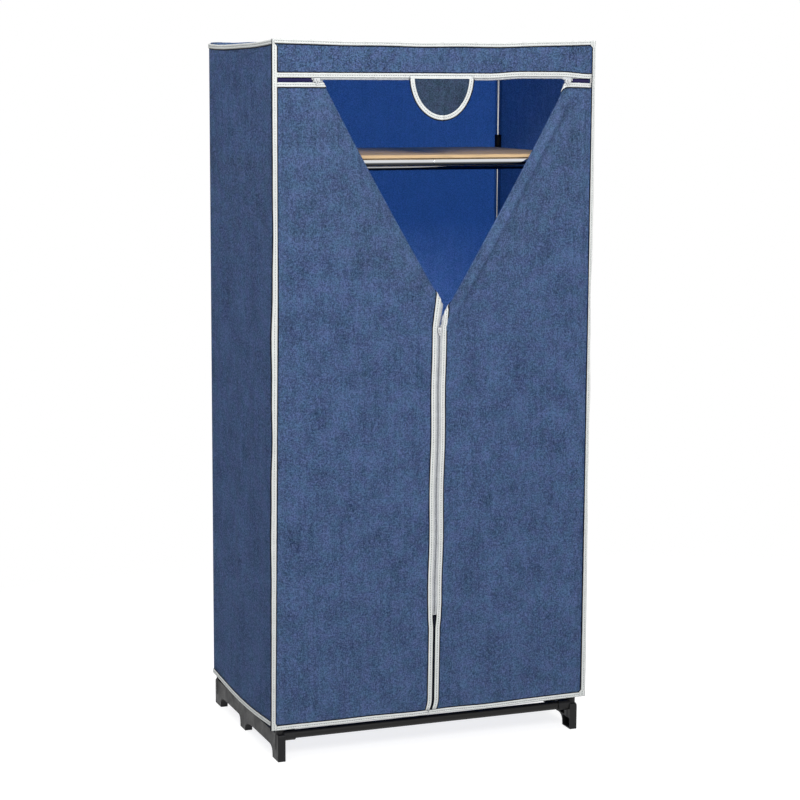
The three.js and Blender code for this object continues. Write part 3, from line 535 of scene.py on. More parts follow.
def soft_noise(x, y, size_x, size_y, seed):
    """Smooth noise between about -1 and 1 over a plane, with features of that size."""
    x, y = np.broadcast_arrays(np.asarray(x, float), np.asarray(y, float))
    values = [noise.noise(Vector((a / size_x, b / size_y, seed)))
              for a, b in zip(x.ravel(), y.ravel())]
    return np.array(values).reshape(x.shape) * 1.6


# ---- Bindings, zips and their stitches

# A binding's section over half its width: share across, share of its full height.
# The stitching pulls the tape down along its middle.
BINDING_SECTION = [(-1, 0), (-1, 0.45), (-0.8, 0.9), (-0.45, 1), (-0.14, 0.72), (0, 0.55),
                   (0.14, 0.72), (0.45, 1), (0.8, 0.9), (1, 0.45), (1, 0)]
# A stitch or zip tooth over half its length, width and height: along, across, up
STUD = np.array([(-1, -0.6, 0), (-1, 0.6, 0), (0, -1, 0), (0, 1, 0), (1, -0.6, 0), (1, 0.6, 0),
                 (-0.55, -0.4, 2), (-0.55, 0.4, 2), (0.55, -0.4, 2), (0.55, 0.4, 2)])
STUD_FACES = [(0, 2, 8, 6), (2, 4, 8), (4, 5, 9, 8), (5, 3, 9), (3, 1, 7, 9), (1, 0, 6, 7),
              (6, 8, 9, 7), (0, 1, 3, 2), (2, 3, 5, 4)]
# The finishes of a binding's parts, in the order in which its parts number them
BINDING_FINISHES = ("binding", "thread", "seam")


class Strips:
    """Gathers the parts of one sewn strip: its tape, its coil and its stitches."""

    def __init__(self):
        self.vertices, self.faces, self.flat, self.finish = [], [], [], []

    def add(self, vertices, faces, flat, finish):
        start = len(self.vertices)
        self.vertices.extend(np.asarray(vertices, float).tolist())
        self.flat.extend(np.asarray(flat, float).tolist())
        self.faces.extend(tuple(start + i for i in face) for face in faces)
        self.finish.extend([finish] * len(faces))

    def tape(self, place, stations, section, finish=0, loop=False):
        """A closed strip. place(along, across, rise) gives points, and section lists
        (across, rise) round the strip. A loop joins its last station to its first."""
        section = np.asarray(section, float)
        count = len(section)
        along = np.repeat(np.asarray(stations, float), count)
        across, rise = (np.tile(section[:, i], len(stations)) for i in (0, 1))
        faces = grid_faces(len(stations), count, closed=True)
        last = (len(stations) - 1) * count
        if loop:
            faces += [(last + i, last + (i + 1) % count, (i + 1) % count, i)
                      for i in range(count)]
        else:
            faces += [tuple(range(count))[::-1], tuple(range(last, last + count))]
        self.add(place(along, across, rise), faces, stack(across, along), finish)

    def edge(self, place, stations, inner, outer, rise=0.0005, loop=False):
        """A near-black strip beside a binding: painted shade."""
        section = [(inner, 0), (inner, rise), (outer, rise), (outer, 0)]
        self.tape(place, stations, section, 2, loop)

    def studs(self, place, at, across, rise, size, finish=1):
        """Small studs with sloping sides, such as stitches or zip teeth."""
        shape = STUD * (np.array(size) / 2)
        along = (np.asarray(at, float)[:, None] + shape[:, 0]).ravel()
        beside = np.tile(across + shape[:, 1], len(at))
        above = np.tile(rise + shape[:, 2], len(at))
        every = [tuple(k * len(shape) + i for i in face)
                 for k in range(len(at)) for face in STUD_FACES]
        self.add(place(along, beside, above), every, stack(beside, along), finish)

    def settle(self, name, node, slot, *names, body=BODY):
        """The strips as one finished piece in a node's place."""
        made = mesh_object(name, self.vertices, self.faces, self.flat, self.finish)
        face_outwards(made)
        return settle(made, node, slot, *names, body=body)

    def settle_binding(self, node, *more, body=BODY):
        """The strips as a white binding; more names the finishes of what else is on it."""
        return self.settle(
            "tape_" + node, node, "white_binding", *BINDING_FINISHES, *more, body=body)


def sewn(strips, place, stations, half, high, edges=(), loop=False):
    """A binding along its stations, stitched down its middle, with a near-black strip of
    painted shade at the sides named in edges."""
    section = [(share * half, high * lift) for share, lift in BINDING_SECTION]
    strips.tape(place, stations, section, loop=loop)
    pitch = sizes().stitch_pitch
    at = np.arange(stations[0] + pitch, stations[-1] - pitch, pitch)
    strips.studs(place, at, 0.0, high * 0.52, (pitch * 0.6, 0.0016, 0.0004))
    for side in edges:
        strips.edge(place, stations, side * (half - 0.001), side * (half + sizes().shade_strip_width),
                    0.0004, loop)


# ---- The door's flaps, laid flat and folded

class Flap:
    """A flap's flat pattern: w runs outwards from the middle and z up. The corner past the
    fold turns round the fold's radius and lies behind the flap."""

    # Side: the fold's top and foot in x, and its foot in z; how the zip's inner and outer
    # lines lean above the slider; how far its halves part there
    SIZES = {-1: (-0.2658, 0.001, 1.044, (-0.17, -0.12), 0.0),
             1: (0.3185, 0.024, 0.993, (0.17, 0.05), 0.0021)}
    # Over this width the lean changes from the inner line's to the outer line's
    STRIP = 0.0163
    # From the zip's middle to the edge of the cloth behind its tape
    CLOTH_TO_ZIP = 0.0075
    # How far the fold hangs from the opening, and how far from the fold that still shows
    SAG, SAG_WIDTH = 0.0036, 0.07
    # The right flap's top corner is drawn up to the slider, over this run of its fold
    DRAWN, DRAWN_RUN = 0.0036, 0.025
    # Its top edge is pulled down beside its fold, from this place, over this width
    PULL, PULL_FROM, PULL_WIDTH = 0.0088, 0.3186, 0.0162
    # How far the roll beside the fold and the tuck beside the corner seam stand out, and
    # how far the cloth may sink in
    ROLL, TUCK, HOLLOW = {-1: 0.0034, 1: 0.0058}, 0.0024, 0.0012

    def __init__(self, side):
        fold_x, apex_x, self.apex_z, self.leans, self.parted = self.SIZES[side]
        self.side = side
        self.radius = sizes().fold_radius
        self.half = math.pi * self.radius
        self.fold_w = side * fold_x
        run = np.array([side * apex_x - self.fold_w, self.apex_z - FLAP_TOP])
        self.length = float(np.linalg.norm(run))
        self.run = run / self.length
        self.across = np.array([self.run[1], -self.run[0]])

    def past(self, w, z):
        """How far a point lies past the fold."""
        return (w - self.fold_w) * self.across[0] + (z - FLAP_TOP) * self.across[1]

    def along(self, w, z):
        """How far down the fold a point lies."""
        return (w - self.fold_w) * self.run[0] + (z - FLAP_TOP) * self.run[1]

    def w_at(self, z, past):
        return self.fold_w + (past - (z - FLAP_TOP) * self.across[1]) / self.across[0]

    def beside(self, z, offset=0.0):
        """How far out a line beside the zip lies, at an offset outwards from its middle.
        Above the slider the zip's halves part, and lean with the folds."""
        z = np.asarray(z, float)
        low = self.side * (
            SLIT_X + (JUNCTION_X - SLIT_X) * (z - HEM) / (JUNCTION_Z - HEM))
        inner, outer = self.leans
        lean = inner + (outer - inner) * np.clip(offset / self.STRIP, 0, 1)
        parted = self.parted * smooth(z, JUNCTION_Z, JUNCTION_Z + 0.008)
        high = self.side * JUNCTION_X + lean * (z - JUNCTION_Z) + parted
        return np.where(z <= JUNCTION_Z, low, high) + offset

    def drop(self, w):
        pulled = np.clip((self.PULL_FROM - np.asarray(w, float)) / self.PULL_WIDTH, 0, 1)
        return (self.side > 0) * self.PULL * pulled ** 1.8

    def top(self, w):
        return FLAP_TOP - self.drop(w)

    def folded_w(self, w, z):
        """How far out a point past the fold lies once it is folded back."""
        return (self.fold_w + self.along(w, z) * self.run[0]
                - (self.past(w, z) - self.half) * self.across[0])

    def place(self, w, z, rise):
        """The point of the folded flap for a point of the flat one."""
        w, z, rise = np.broadcast_arrays(*(np.asarray(v, float) for v in (w, z, rise)))
        past, along, r = self.past(w, z), self.along(w, z), self.radius
        turn = np.clip(past / r, 0, math.pi)
        reach = (r + rise) * np.sin(turn) - np.maximum(past - self.half, 0)
        flat = stack(self.side * w, -FACE_Y - rise, z)
        folded = stack(
            self.side * (self.fold_w + along * self.run[0] + reach * self.across[0]),
            -FACE_Y + r - (r + rise) * np.cos(turn),
            FLAP_TOP + along * self.run[1] + reach * self.across[1])
        points = np.where((past <= 0)[..., None], flat, folded)
        sag = -self.SAG * arch(along / self.length, 0.8)
        if self.side > 0:
            sag = sag + self.DRAWN * np.exp(-(along / self.DRAWN_RUN) ** 2)
        sag = sag * np.exp(-(past / self.SAG_WIDTH) ** 2)
        points[..., 0] += self.side * self.across[0] * sag
        points[..., 2] += self.across[1] * sag
        return points

    def fold_meets(self, offset):
        """The height at which a line beside the zip meets the fold."""
        heights = np.linspace(JUNCTION_Z, FLAP_TOP, 4000)
        past = self.past(self.beside(heights, offset), heights)
        return float(heights[np.argmax(past > 0)])

    def folded_end(self, z, edge_w):
        """How far past the fold the cloth goes at a height, short of the frame's side."""
        past = np.linspace(0, max(self.past(edge_w, z), 0), 400)
        beyond = past[self.folded_w(self.w_at(z, past), z) > FOLD_LIMIT]
        return float(beyond[0]) if len(beyond) else float(past[-1])

    def strip_end(self, offset):
        """The height at which a folded strip reaches the frame's side, or the top edge."""
        heights = np.linspace(self.fold_meets(offset), FLAP_TOP - 0.0105, 600)
        reach = self.folded_w(self.beside(heights, offset), heights)
        return float(heights[reach < FOLD_LIMIT][-1])

    def near_fold(self, start, end, offset):
        """Heights for a strip beside the zip line, closer together where it is folded."""
        meets = self.fold_meets(offset)
        fine = np.arange(max(start, meets - 0.022), min(end, meets + 0.040), 0.0008)
        return merged(np.arange(start, end, 0.006), fine, [end])

    def points(self):
        """The flap's outer face, from its side corner to the zip or round the fold, and
        its flat pattern."""
        start = self.fold_meets(self.CLOTH_TO_ZIP)
        # The cloth ends behind the hem's binding, which rises a little to the right
        low = np.linspace(HEM + 0.005, start, 100)
        high = np.linspace(start, FLAP_TOP, 70)[1:]
        front = np.linspace(0, 1, 84) ** 0.9
        turned, behind = np.linspace(0, 1, 10)[1:], np.linspace(0, 1, 12)[1:]
        reach = FRONT_REACH[self.side]
        points, flat = [], []
        for z in np.concatenate([low, high]):
            folded = z > start
            edge = float(self.beside(z, self.CLOTH_TO_ZIP))
            end = self.folded_end(z, edge) if folded else 0
            inner = self.w_at(z, 0) if folded else edge
            turn_end = min(self.half, end)
            past = np.concatenate([
                np.minimum(turned * self.half, end), turn_end + (end - turn_end) * behind])
            on_front = reach + (inner - reach) * front
            folded_back = self.w_at(z, past) if folded else np.full_like(past, edge)
            w = np.concatenate([on_front, folded_back])
            rise = np.concatenate([
                self.door_rise(on_front, z, inner), np.zeros_like(folded_back)])
            points.append(self.place(w, np.minimum(z, self.top(w)), rise))
            flat.append(stack(self.side * w, z))
        return np.array(points), np.array(flat)

    def door_rise(self, w, z, inner):
        """How far the flap's cloth stands out of its plane: soft folds that run down from
        the opening, a roll beside the fold and a tuck beside the corner seam."""
        x, below_top = self.side * w, FLAP_TOP - z
        edges = smooth(FACE_X - w, 0.008, 0.05) * smooth(w - inner, 0.002, 0.045)
        ends = smooth(z, HEM + 0.012, HEM + 0.09) * smooth(below_top, 0.012, 0.07)
        # Folds run from the opening's foot towards the lower corners
        lean = x - self.side * 0.22 * (z - 0.3)
        folds = soft_noise(lean, z, 0.085, 0.55, 3.1 + self.side)
        blotches = soft_noise(x, z, 0.16, 0.20, 7.7 + self.side)
        rise = sizes().wrinkle * edges * ends * (0.75 * folds + 0.55 * blotches)
        before = -self.past(w, z)
        roll = np.exp(-((before - 0.018) / 0.009) ** 2) * smooth(before, 0.001, 0.010)
        upper = smooth(z, self.apex_z - 0.08, self.apex_z + 0.04)
        upper = upper * smooth(below_top, 0.008, 0.05)
        rise = rise + self.ROLL[self.side] * roll * upper
        tuck = np.exp(-((FACE_X - w - 0.013) / 0.0032) ** 2) * smooth(below_top, 0.01, 0.04)
        return np.maximum(rise + self.TUCK * tuck * smooth(z, 0.3, 1.4), -self.HOLLOW)


# ---- Walls of the cover

def header_lift(x):
    """The header's foot stands a little higher over the door's right half."""
    return 0.0044 * smooth(x, 0.12, 0.21) * (1 - smooth(x, 0.30, 0.372))


def on_side_wall(x, y):
    return abs(x) / (WIDTH / 2) > abs(y) / (DEPTH / 2)


def crown(x, y):
    """How far the cover's top edge sinks between its corners, which hold it up: more on
    the left, most at the slack back left corner, least at the pulled-up front right one."""
    long_dip, side_dip, more_left = 0.0046, 0.0052, 0.0034
    on_side = on_side_wall(x, y)
    held = arch(np.where(on_side, y / DEPTH + 0.5, x / WIDTH + 0.5), 0.8)
    dip = np.where(on_side, side_dip + more_left * (x < 0), long_dip) * held
    waves = 0.0006 * np.sin(34 * x + 9)
    pulled_up = 0.0030 * smooth(x, 0.12, 0.375) * smooth(-y, -0.1, 0.255)
    slack = 0.0058 * smooth(-x, 0.10, 0.37) * smooth(y, -0.03, 0.25)
    return dip + waves * held - pulled_up + slack


# How far the hem hangs down in the middle of the sides and of the back, and how far it is
# pulled up at the front right corner
SIDE_DROOP, BACK_DROOP, HEM_PULL = 0.012, 0.008, 0.0035


def side_droop(share):
    return SIDE_DROOP * arch(share, 1.2)


def back_droop(share):
    return BACK_DROOP * arch(share, 1)


def hem_level(x, y):
    """The hem's lower edge: nearly level in front, slack along the sides and the back."""
    share = x / WIDTH + 0.5
    front = HEM + HEM_PULL * smooth(x, 0.1, 0.37) + 0.0009 * np.sin(31 * x) * arch(share)
    side = HEM - side_droop(y / DEPTH + 0.5) + HEM_PULL * (x > 0) * smooth(-y, 0.1, 0.25)
    back = HEM - back_droop(share)
    return np.where(on_side_wall(x, y), side, np.where(y < 0, front, back))


def wall_points(start, end, inward, droop, seed, columns=72):
    """A wall's outer face between two corners in plan: drawn in between the hem and the
    shelf, and again up to the top, with soft upright folds that stay off the tubes."""
    start, end, inward = (np.array(v, float) for v in (start, end, inward))
    share = np.linspace(0, 1, columns)[None, :]
    level = np.linspace(0, 1, 96)[:, None]
    # The cloth ends 2 mm above the hem's foot, inside its binding
    foot = HEM + 0.002 - droop(share)
    plan = start + (end - start) * share[..., None]
    head = HEIGHT - 0.006 - crown(plan[..., 0], plan[..., 1])
    z = foot + (head - foot) * level
    lower = (z - HEM) / (SHELF_Z - HEM)
    upper = (z - SHELF_Z) / (TOP_FACE - SHELF_Z)
    rise = np.where(z < SHELF_Z, arch(lower), 0.5 * arch(upper))
    run = share * float(np.linalg.norm(end - start))
    off_posts = smooth(np.minimum(share, 1 - share), 0.03, 0.2)
    off_hem = smooth(z, HEM, HEM + 0.12)
    folds = soft_noise(run + 0.05 * z, z, 0.060, 0.70, seed)
    fine = soft_noise(run, z, 0.110, 0.17, seed + 5)
    hollow = 0.004 * arch(share) * rise
    waves = sizes().wrinkle * (0.9 * folds + 0.55 * fine) * (0.35 + rise)
    waves = waves * off_posts * off_hem
    depth_in = np.clip(hollow + waves, -0.004, 0.0065)
    plan = np.broadcast_to(plan, z.shape + (2,)) + inward * depth_in[..., None]
    return np.concatenate([plan, z[..., None]], -1), stack(run, z)


# ---- Strips that run round the cover's plan

class Round:
    """A path round the cover's walls with small round corners, from a start on the front
    edge, left corner, back and right corner, to the front again. Along is in metres."""

    CORNER = 0.0016
    STEP = 0.006

    def __init__(self, inset, start_x, end_x):
        x, y, c = WIDTH / 2 - inset, DEPTH / 2 - inset, self.CORNER
        legs = [
            ((start_x, -y), (-x + c, -y), (0, -1)),
            ((-x, -y + c), (-x, y - c), (-1, 0)),
            ((-x + c, y), (x - c, y), (0, 1)),
            ((x, y - c), (x, -y + c), (1, 0)),
            ((x - c, -y), (end_x, -y), (0, -1)),
        ]
        stations, along = [], 0.0
        for number, (a, b, out) in enumerate(legs):
            a, b, out = (np.array(v, float) for v in (a, b, out))
            length = float(np.linalg.norm(b - a))
            for share in np.linspace(0, 1, max(2, int(length / self.STEP))):
                stations.append((along + length * share, *(a + (b - a) * share), *out))
            along += length
            if number == len(legs) - 1:
                break
            next_out = np.array(legs[number + 1][2])
            centre = b - out * c
            arc = math.pi / 2 * c
            for share in np.linspace(0, 1, 7)[1:-1]:
                angle = share * math.pi / 2
                turned = out * math.cos(angle) + next_out * math.sin(angle)
                stations.append((along + arc * share, *(centre + turned * c), *turned))
            along += arc
        self.alongs, *self.courses = np.array(stations).T

    def strip(self, level):
        """place(along, across, rise) for a strip whose middle is at level(x, y)."""
        def place(along, across, rise):
            x, y, out_x, out_y = (
                np.interp(along, self.alongs, course) for course in self.courses)
            size = np.hypot(out_x, out_y)
            return stack(x + out_x / size * rise, y + out_y / size * rise,
                         level(x, y) + across)
        return place


def slit_bend(z):
    """The door's slit swings a little to the left where it runs into the hem."""
    return -0.0105 * np.clip((0.112 - np.asarray(z, float)) / 0.037, 0, 1.3) ** 2


def zip_wave(z):
    """The zip wavers a little from side to side, but not where its slider stands."""
    z = np.asarray(z, float)
    calm = smooth(z, ZIP_FOOT, ZIP_FOOT + 0.1) * smooth(JUNCTION_Z - z, 0.015, 0.12)
    return 0.0009 * np.sin(27 * z + 1.1) * calm + slit_bend(z)


# ---- Operators: the stage and the frame

def seen_by(tree, *rays):
    """1 where one of these rays meets the surface, as a (node, output) pair."""
    path = add_node(tree, "LightPath")
    seen = (path, rays[0])
    for ray in rays[1:]:
        seen = (add_node(tree, "Math", {0: seen, 1: (path, ray)}, operation="MAXIMUM"), 0)
    return seen


class WARDROBE_OT_stage(bpy.types.Operator):
    """Sets the camera where the photograph was taken from, with plain light and a floor"""
    bl_idname = "wardrobe.stage"
    bl_label = "Stage"

    # Each lamp's name, place, target, size and power
    LAMPS = [
        ("key", (-0.9, -4.4, 3.6), (0, 0, 1.0), 1.8, 157),
        ("fill", (-2.3, -1.2, 2.9), (0, 0, 1.2), 1.6, 20),
        ("top", (0.2, 0.4, 4.2), (0, 0, 0.85), 2.4, 45),
        ("back", (0.3, 1.5, 1.35), (0.2, 0, 1.35), 0.9, 19),
    ]

    def execute(self, context):
        scene = context.scene
        scene.view_settings.view_transform = "Standard"
        self.camera(scene)
        self.lights(scene)
        self.world(scene)
        self.floor(scene)
        return {"FINISHED"}

    def camera(self, scene):
        """A long lens, a little above the middle of the cover's top, to its left."""
        data = bpy.data.cameras.new("camera")
        camera = bpy.data.objects.new("camera", data)
        scene.collection.objects.link(camera)
        yaw, pitch, roll = (math.radians(a) for a in (21.081, 8.604, 0.302))
        look = Vector((
            math.sin(yaw) * math.cos(pitch), math.cos(yaw) * math.cos(pitch),
            -math.sin(pitch)))
        right = Vector((math.cos(yaw), -math.sin(yaw), 0))
        up = right.cross(look)
        turned_right = right * math.cos(roll) + up * math.sin(roll)
        turned_up = up * math.cos(roll) - right * math.sin(roll)
        turned = Matrix((turned_right, turned_up, -look)).transposed()
        camera.matrix_world = Matrix.Translation((-1.7956, -4.6964, 1.5278)) @ turned.to_4x4()
        image_px, focal_px = 800, 2160.3
        data.sensor_width = 36
        data.lens = focal_px / image_px * data.sensor_width
        data.clip_end = 60
        scene.camera = camera

    def lights(self, scene):
        """A broad key in front, a weaker one from the left, one above, and one on the
        background that shines through the thin back of the cover."""
        for name, place, target, size, power in self.LAMPS:
            data = bpy.data.lights.new(name, "AREA")
            data.size, data.energy = size, power
            lamp = bpy.data.objects.new(name, data)
            lamp.location = place
            aim = Vector(target) - Vector(place)
            lamp.rotation_euler = aim.to_track_quat("-Z", "Y").to_euler()
            lamp.visible_camera = False
            scene.collection.objects.link(lamp)

    def world(self, scene):
        """A soft even light that is white where it is seen."""
        scene.world = bpy.data.worlds.new("studio")
        scene.world.use_nodes = True
        tree = scene.world.node_tree
        tree.nodes.clear()
        seen = seen_by(tree, "Is Camera Ray", "Is Glossy Ray", "Is Transmission Ray")
        strength = add_node(tree, "MapRange", {"Value": seen, "To Min": 0.33, "To Max": 1.0})
        sky = add_node(tree, "Background", {
            "Color": linear("#ffffff"), "Strength": (strength, "Result")})
        add_node(tree, "OutputWorld", {"Surface": (sky, 0)})

    def floor(self, scene):
        """A pale floor that takes the wardrobe's shadow and runs out into white."""
        deselect()
        bpy.ops.mesh.primitive_plane_add(size=14, location=(0, 1.5, 0))
        floor = bpy.context.object
        floor.name = "floor"
        edit_all(floor)
        bpy.ops.mesh.subdivide(number_cuts=6)
        bpy.ops.object.mode_set(mode="OBJECT")
        apply_place(floor)
        material, tree = begin("painted studio floor")
        seen = seen_by(tree, "Is Camera Ray", "Is Glossy Ray")
        diffuse = add_node(tree, "BsdfDiffuse", {"Color": scene.wardrobe_colours.floor[:]})
        # For the camera the lit floor is pushed up to white, and its shadow stays
        lift = add_node(tree, "Math", {0: seen, 1: 0.82}, operation="MULTIPLY")
        glow = add_node(tree, "Emission", {"Color": linear("#ffffff"), "Strength": (lift, 0)})
        near = add_node(tree, "AddShader", {0: (diffuse, 0), 1: (glow, 0)})
        # Farther out the floor runs into the white background
        place = add_node(tree, "TexCoord")
        shape = add_node(tree, "Mapping", {
            "Vector": (place, "Object"), "Scale": (0.6, 0.9, 1.0)})
        away = add_node(tree, "VectorMath", {0: (shape, "Vector")}, operation="LENGTH")
        far = add_node(tree, "MapRange", {
            "Value": (away, "Value"), "From Min": 0.6, "From Max": 1.5})
        fade = add_node(tree, "Math", {0: seen, 1: (far, "Result")}, operation="MULTIPLY")
        white = add_node(tree, "Emission", {"Color": linear("#ffffff"), "Strength": 1.0})
        both = add_node(tree, "MixShader", {0: (fade, 0), 1: (near, 0), 2: (white, 0)})
        add_node(tree, "OutputMaterial", {"Surface": (both, 0)})
        floor.data.materials.append(material)


def run_out(axis, origin, at, wide, stations):
    """Extrudes the selected ring or face along an axis, to each station's radius."""
    for along, radius in stations:
        bpy.ops.mesh.extrude_region_move(
            TRANSFORM_OT_translate={"value": axis * (along - at)})
        bpy.ops.transform.resize(
            value=(radius / wide,) * 3, center_override=origin + axis * along)
        at, wide = along, radius


def drawn_tube(name, start, end, radius, plug=0.0):
    """A tube as it is drawn: a circle run out along its axis with its cut ends turned in,
    then given its wall. A plug end is drawn in to fit inside the next tube."""
    start, end = Vector(start), Vector(end)
    axis = (end - start).normalized()
    length = (end - start).length
    lip = 0.0005
    stations = [(lip, radius), (length - lip, radius), (length, radius - lip)]
    at, wide = 0.0, radius - lip
    if plug:
        slim = radius - sizes().tube_wall - 0.0003
        at, wide = -plug, slim - lip
        stations = [(-plug + lip, slim), (0.0, slim), (0.0012, radius)] + stations[1:]
    deselect()
    bpy.ops.mesh.primitive_circle_add(
        vertices=sizes().tube_sides, radius=wide, location=start + axis * at,
        rotation=axis.to_track_quat("Z", "Y").to_euler())
    obj = bpy.context.object
    obj.name = name
    edit_all(obj)
    run_out(axis, start, at, wide, stations)
    face_outwards(obj)
    give_wall(obj, sizes().tube_wall, -1)
    bpy.ops.object.shade_smooth_by_angle(angle=math.radians(40))
    return obj


class WARDROBE_OT_tubes(bpy.types.Operator):
    """Draws the posts, rails and bars of the frame as thin plated tubes"""
    bl_idname = "wardrobe.tubes"
    bl_label = "Tubes and bars"

    def execute(self, context):
        for node in self.nodes():
            low, high = (Vector(corner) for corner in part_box(node))
            long = max(range(3), key=lambda i: high[i] - low[i])
            plug = PLUG if node == "shelf_tube_front_right" else 0.0
            start, end = (low + high) / 2, (low + high) / 2
            start[long], end[long] = low[long] + plug, high[long]
            if node.startswith("base"):
                radius, slot, finish = BASE_BAR_R, "black_bar", "powder"
            else:
                radius, slot, finish = TUBE_R, "chrome_tube", "chrome"
            settle(drawn_tube("tube_" + node, start, end, radius, plug), node, slot, finish)
        return {"FINISHED"}

    def nodes(self):
        nodes = ["hanging_rail", "shelf_tube_front_left", "shelf_tube_front_right",
                 "shelf_tube_back"]
        for end, _ in ENDS:
            nodes += ["base_bar_" + end, "top_tube_" + end]
            nodes += [f"post_{part}_{end}_{side}"
                      for side, _ in SIDES for part in ("lower", "upper")]
        return nodes + [
            f"{level}_tube_{side}" for side, _ in SIDES for level in ("shelf", "top")]


# How far a joint's arms reach from its middle, how far the rounded bead stands out at
# each mouth, its length along the arm, and its profile: along, and out from the collar
ARM_REACH, BEAD, BEAD_LENGTH = 0.036, 0.0009, 0.004
BEAD_PROFILE = [(0.0, -0.0004), (0.0006, 0.0), (0.0034, 0.0), (0.004, -0.0005)]


def rod(direction, start, end, radius):
    """A round bar along a direction from the origin, between two distances."""
    deselect()
    bpy.ops.mesh.primitive_cylinder_add(
        vertices=40, radius=radius, depth=end - start, location=direction * (start + end) / 2,
        rotation=direction.to_track_quat("Z", "Y").to_euler())
    return bpy.context.object


def moulded_arm(direction, start):
    """A socket arm with a rounded bead round its mouth, as a closed solid."""
    mouth = ARM_REACH - BEAD_LENGTH
    arm = rod(direction, start, mouth, COLLAR_R - BEAD)
    apply_place(arm)
    for polygon in arm.data.polygons:
        polygon.select = polygon.normal.dot(direction) > 0.9
    for edge in arm.data.edges:
        edge.select = False
    for vertex in arm.data.vertices:
        vertex.select = vertex.co.dot(direction) > mouth - 0.0005
    bpy.ops.object.mode_set(mode="EDIT")
    bpy.ops.mesh.select_mode(type="FACE")
    stations = [(mouth + along, COLLAR_R + out) for along, out in BEAD_PROFILE]
    run_out(direction, Vector(), mouth, COLLAR_R - BEAD, stations)
    bpy.ops.object.mode_set(mode="OBJECT")
    return arm


def combine(body, other, operation):
    """Joins another solid to a body, or cuts it away."""
    step = body.modifiers.new(operation, "BOOLEAN")
    step.operation = operation
    step.object = other
    step.solver = "EXACT"
    apply_modifiers(body)
    bpy.data.objects.remove(other, do_unlink=True)


def web_between(first, second):
    """A thin web in the corner between two arms."""
    near, reach, thick = 0.012, 0.026, 0.0028
    deselect()
    bpy.ops.mesh.primitive_plane_add(size=1)
    web = bpy.context.object
    corners = [near * 0.4 * (first + second), first * reach + second * near * 0.4,
               first * near + second * near, second * reach + first * near * 0.4]
    for vertex, corner in zip(
            sorted(web.data.vertices, key=lambda v: math.atan2(v.co.y, v.co.x)), corners):
        vertex.co = corner
    web.data.update()
    give_wall(web, thick, 0)
    return web


def frame_joint(name, has_upper_post):
    """A moulded joint at the origin for the front left corner: arms towards +X, +Y and
    down, and up where a post stands on it, with webs between them."""
    arms = [Vector(arm) for arm in ((1, 0, 0), (0, 1, 0), (0, 0, -1), (0, 0, 1))]
    webs = [(0, 1), (0, 2), (1, 2), (0, 3), (1, 3)]
    if not has_upper_post:
        arms, webs = arms[:3], webs[:3]
    # Arms start behind the joint's middle, or in it where a post goes on upwards, and
    # their bores end in the moulded corner
    back, bore_foot, bore_clearance = -COLLAR_R + 0.0006, 0.0108, 0.0003
    body = moulded_arm(arms[0], back)
    body.name = name
    for arm in arms[1:]:
        combine(body, moulded_arm(arm, 0.0 if has_upper_post and arm.z else back), "UNION")
    for first, second in webs:
        combine(body, web_between(arms[first], arms[second]), "UNION")
    for arm in arms:
        start = 0.0018 if has_upper_post and arm.z else bore_foot
        bore = rod(arm, start, ARM_REACH + 0.009, TUBE_R + bore_clearance)
        combine(body, bore, "DIFFERENCE")
    pick(body)
    bpy.ops.object.shade_smooth_by_angle(angle=math.radians(35))
    return body


def corner_copy(model, name, side, end, z):
    """A copy of a front left joint for another corner, turned the right way out."""
    copy = bpy.data.objects.new(name, model.data.copy())
    bpy.context.scene.collection.objects.link(copy)
    copy.scale = (-side, -end, 1)
    copy.location = (side * POST_X, end * POST_Y, z)
    apply_place(copy)
    face_outwards(copy)
    return copy


class WARDROBE_OT_joints(bpy.types.Operator):
    """Moulds the black plastic joints once and copies them to the frame's corners"""
    bl_idname = "wardrobe.joints"
    bl_label = "Moulded joints"

    def execute(self, context):
        for level, z, has_upper_post in [("shelf", SHELF_Z, True), ("top", TOP_TUBE_Z, False)]:
            model = frame_joint(level + "_joint_model", has_upper_post)
            for end_name, end in ENDS:
                for side_name, side in SIDES:
                    node = f"{level}_joint_{end_name}_{side_name}"
                    copy = corner_copy(model, "moulded_" + node, side, end, z)
                    settle(copy, node, "black_plastic", "plastic")
            bpy.data.objects.remove(model, do_unlink=True)
        return {"FINISHED"}


class WARDROBE_OT_carried_over(bpy.types.Operator):
    """Gives the base ends, brackets, board, sliders and tabs their own finishes"""
    bl_idname = "wardrobe.carried_over"
    bl_label = "Base ends, board and sliders"

    FINISH_OF = {"base_end": "plastic", "rail_bracket": "plastic", "shelf_board": "board",
                 "slider": "enamel", "pull_tab": "enamel"}

    def refinish(self, obj, material):
        if not obj.data.materials:
            obj.data.materials.append(material)
        for slot in obj.material_slots:
            slot.link = "OBJECT"
            slot.material = material

    def execute(self, context):
        for name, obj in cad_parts.items():
            for part in self.FINISH_OF:
                if part in name:
                    self.refinish(obj, finishes()[self.FINISH_OF[part]])
        return {"FINISHED"}


# ---- Operators: the cover

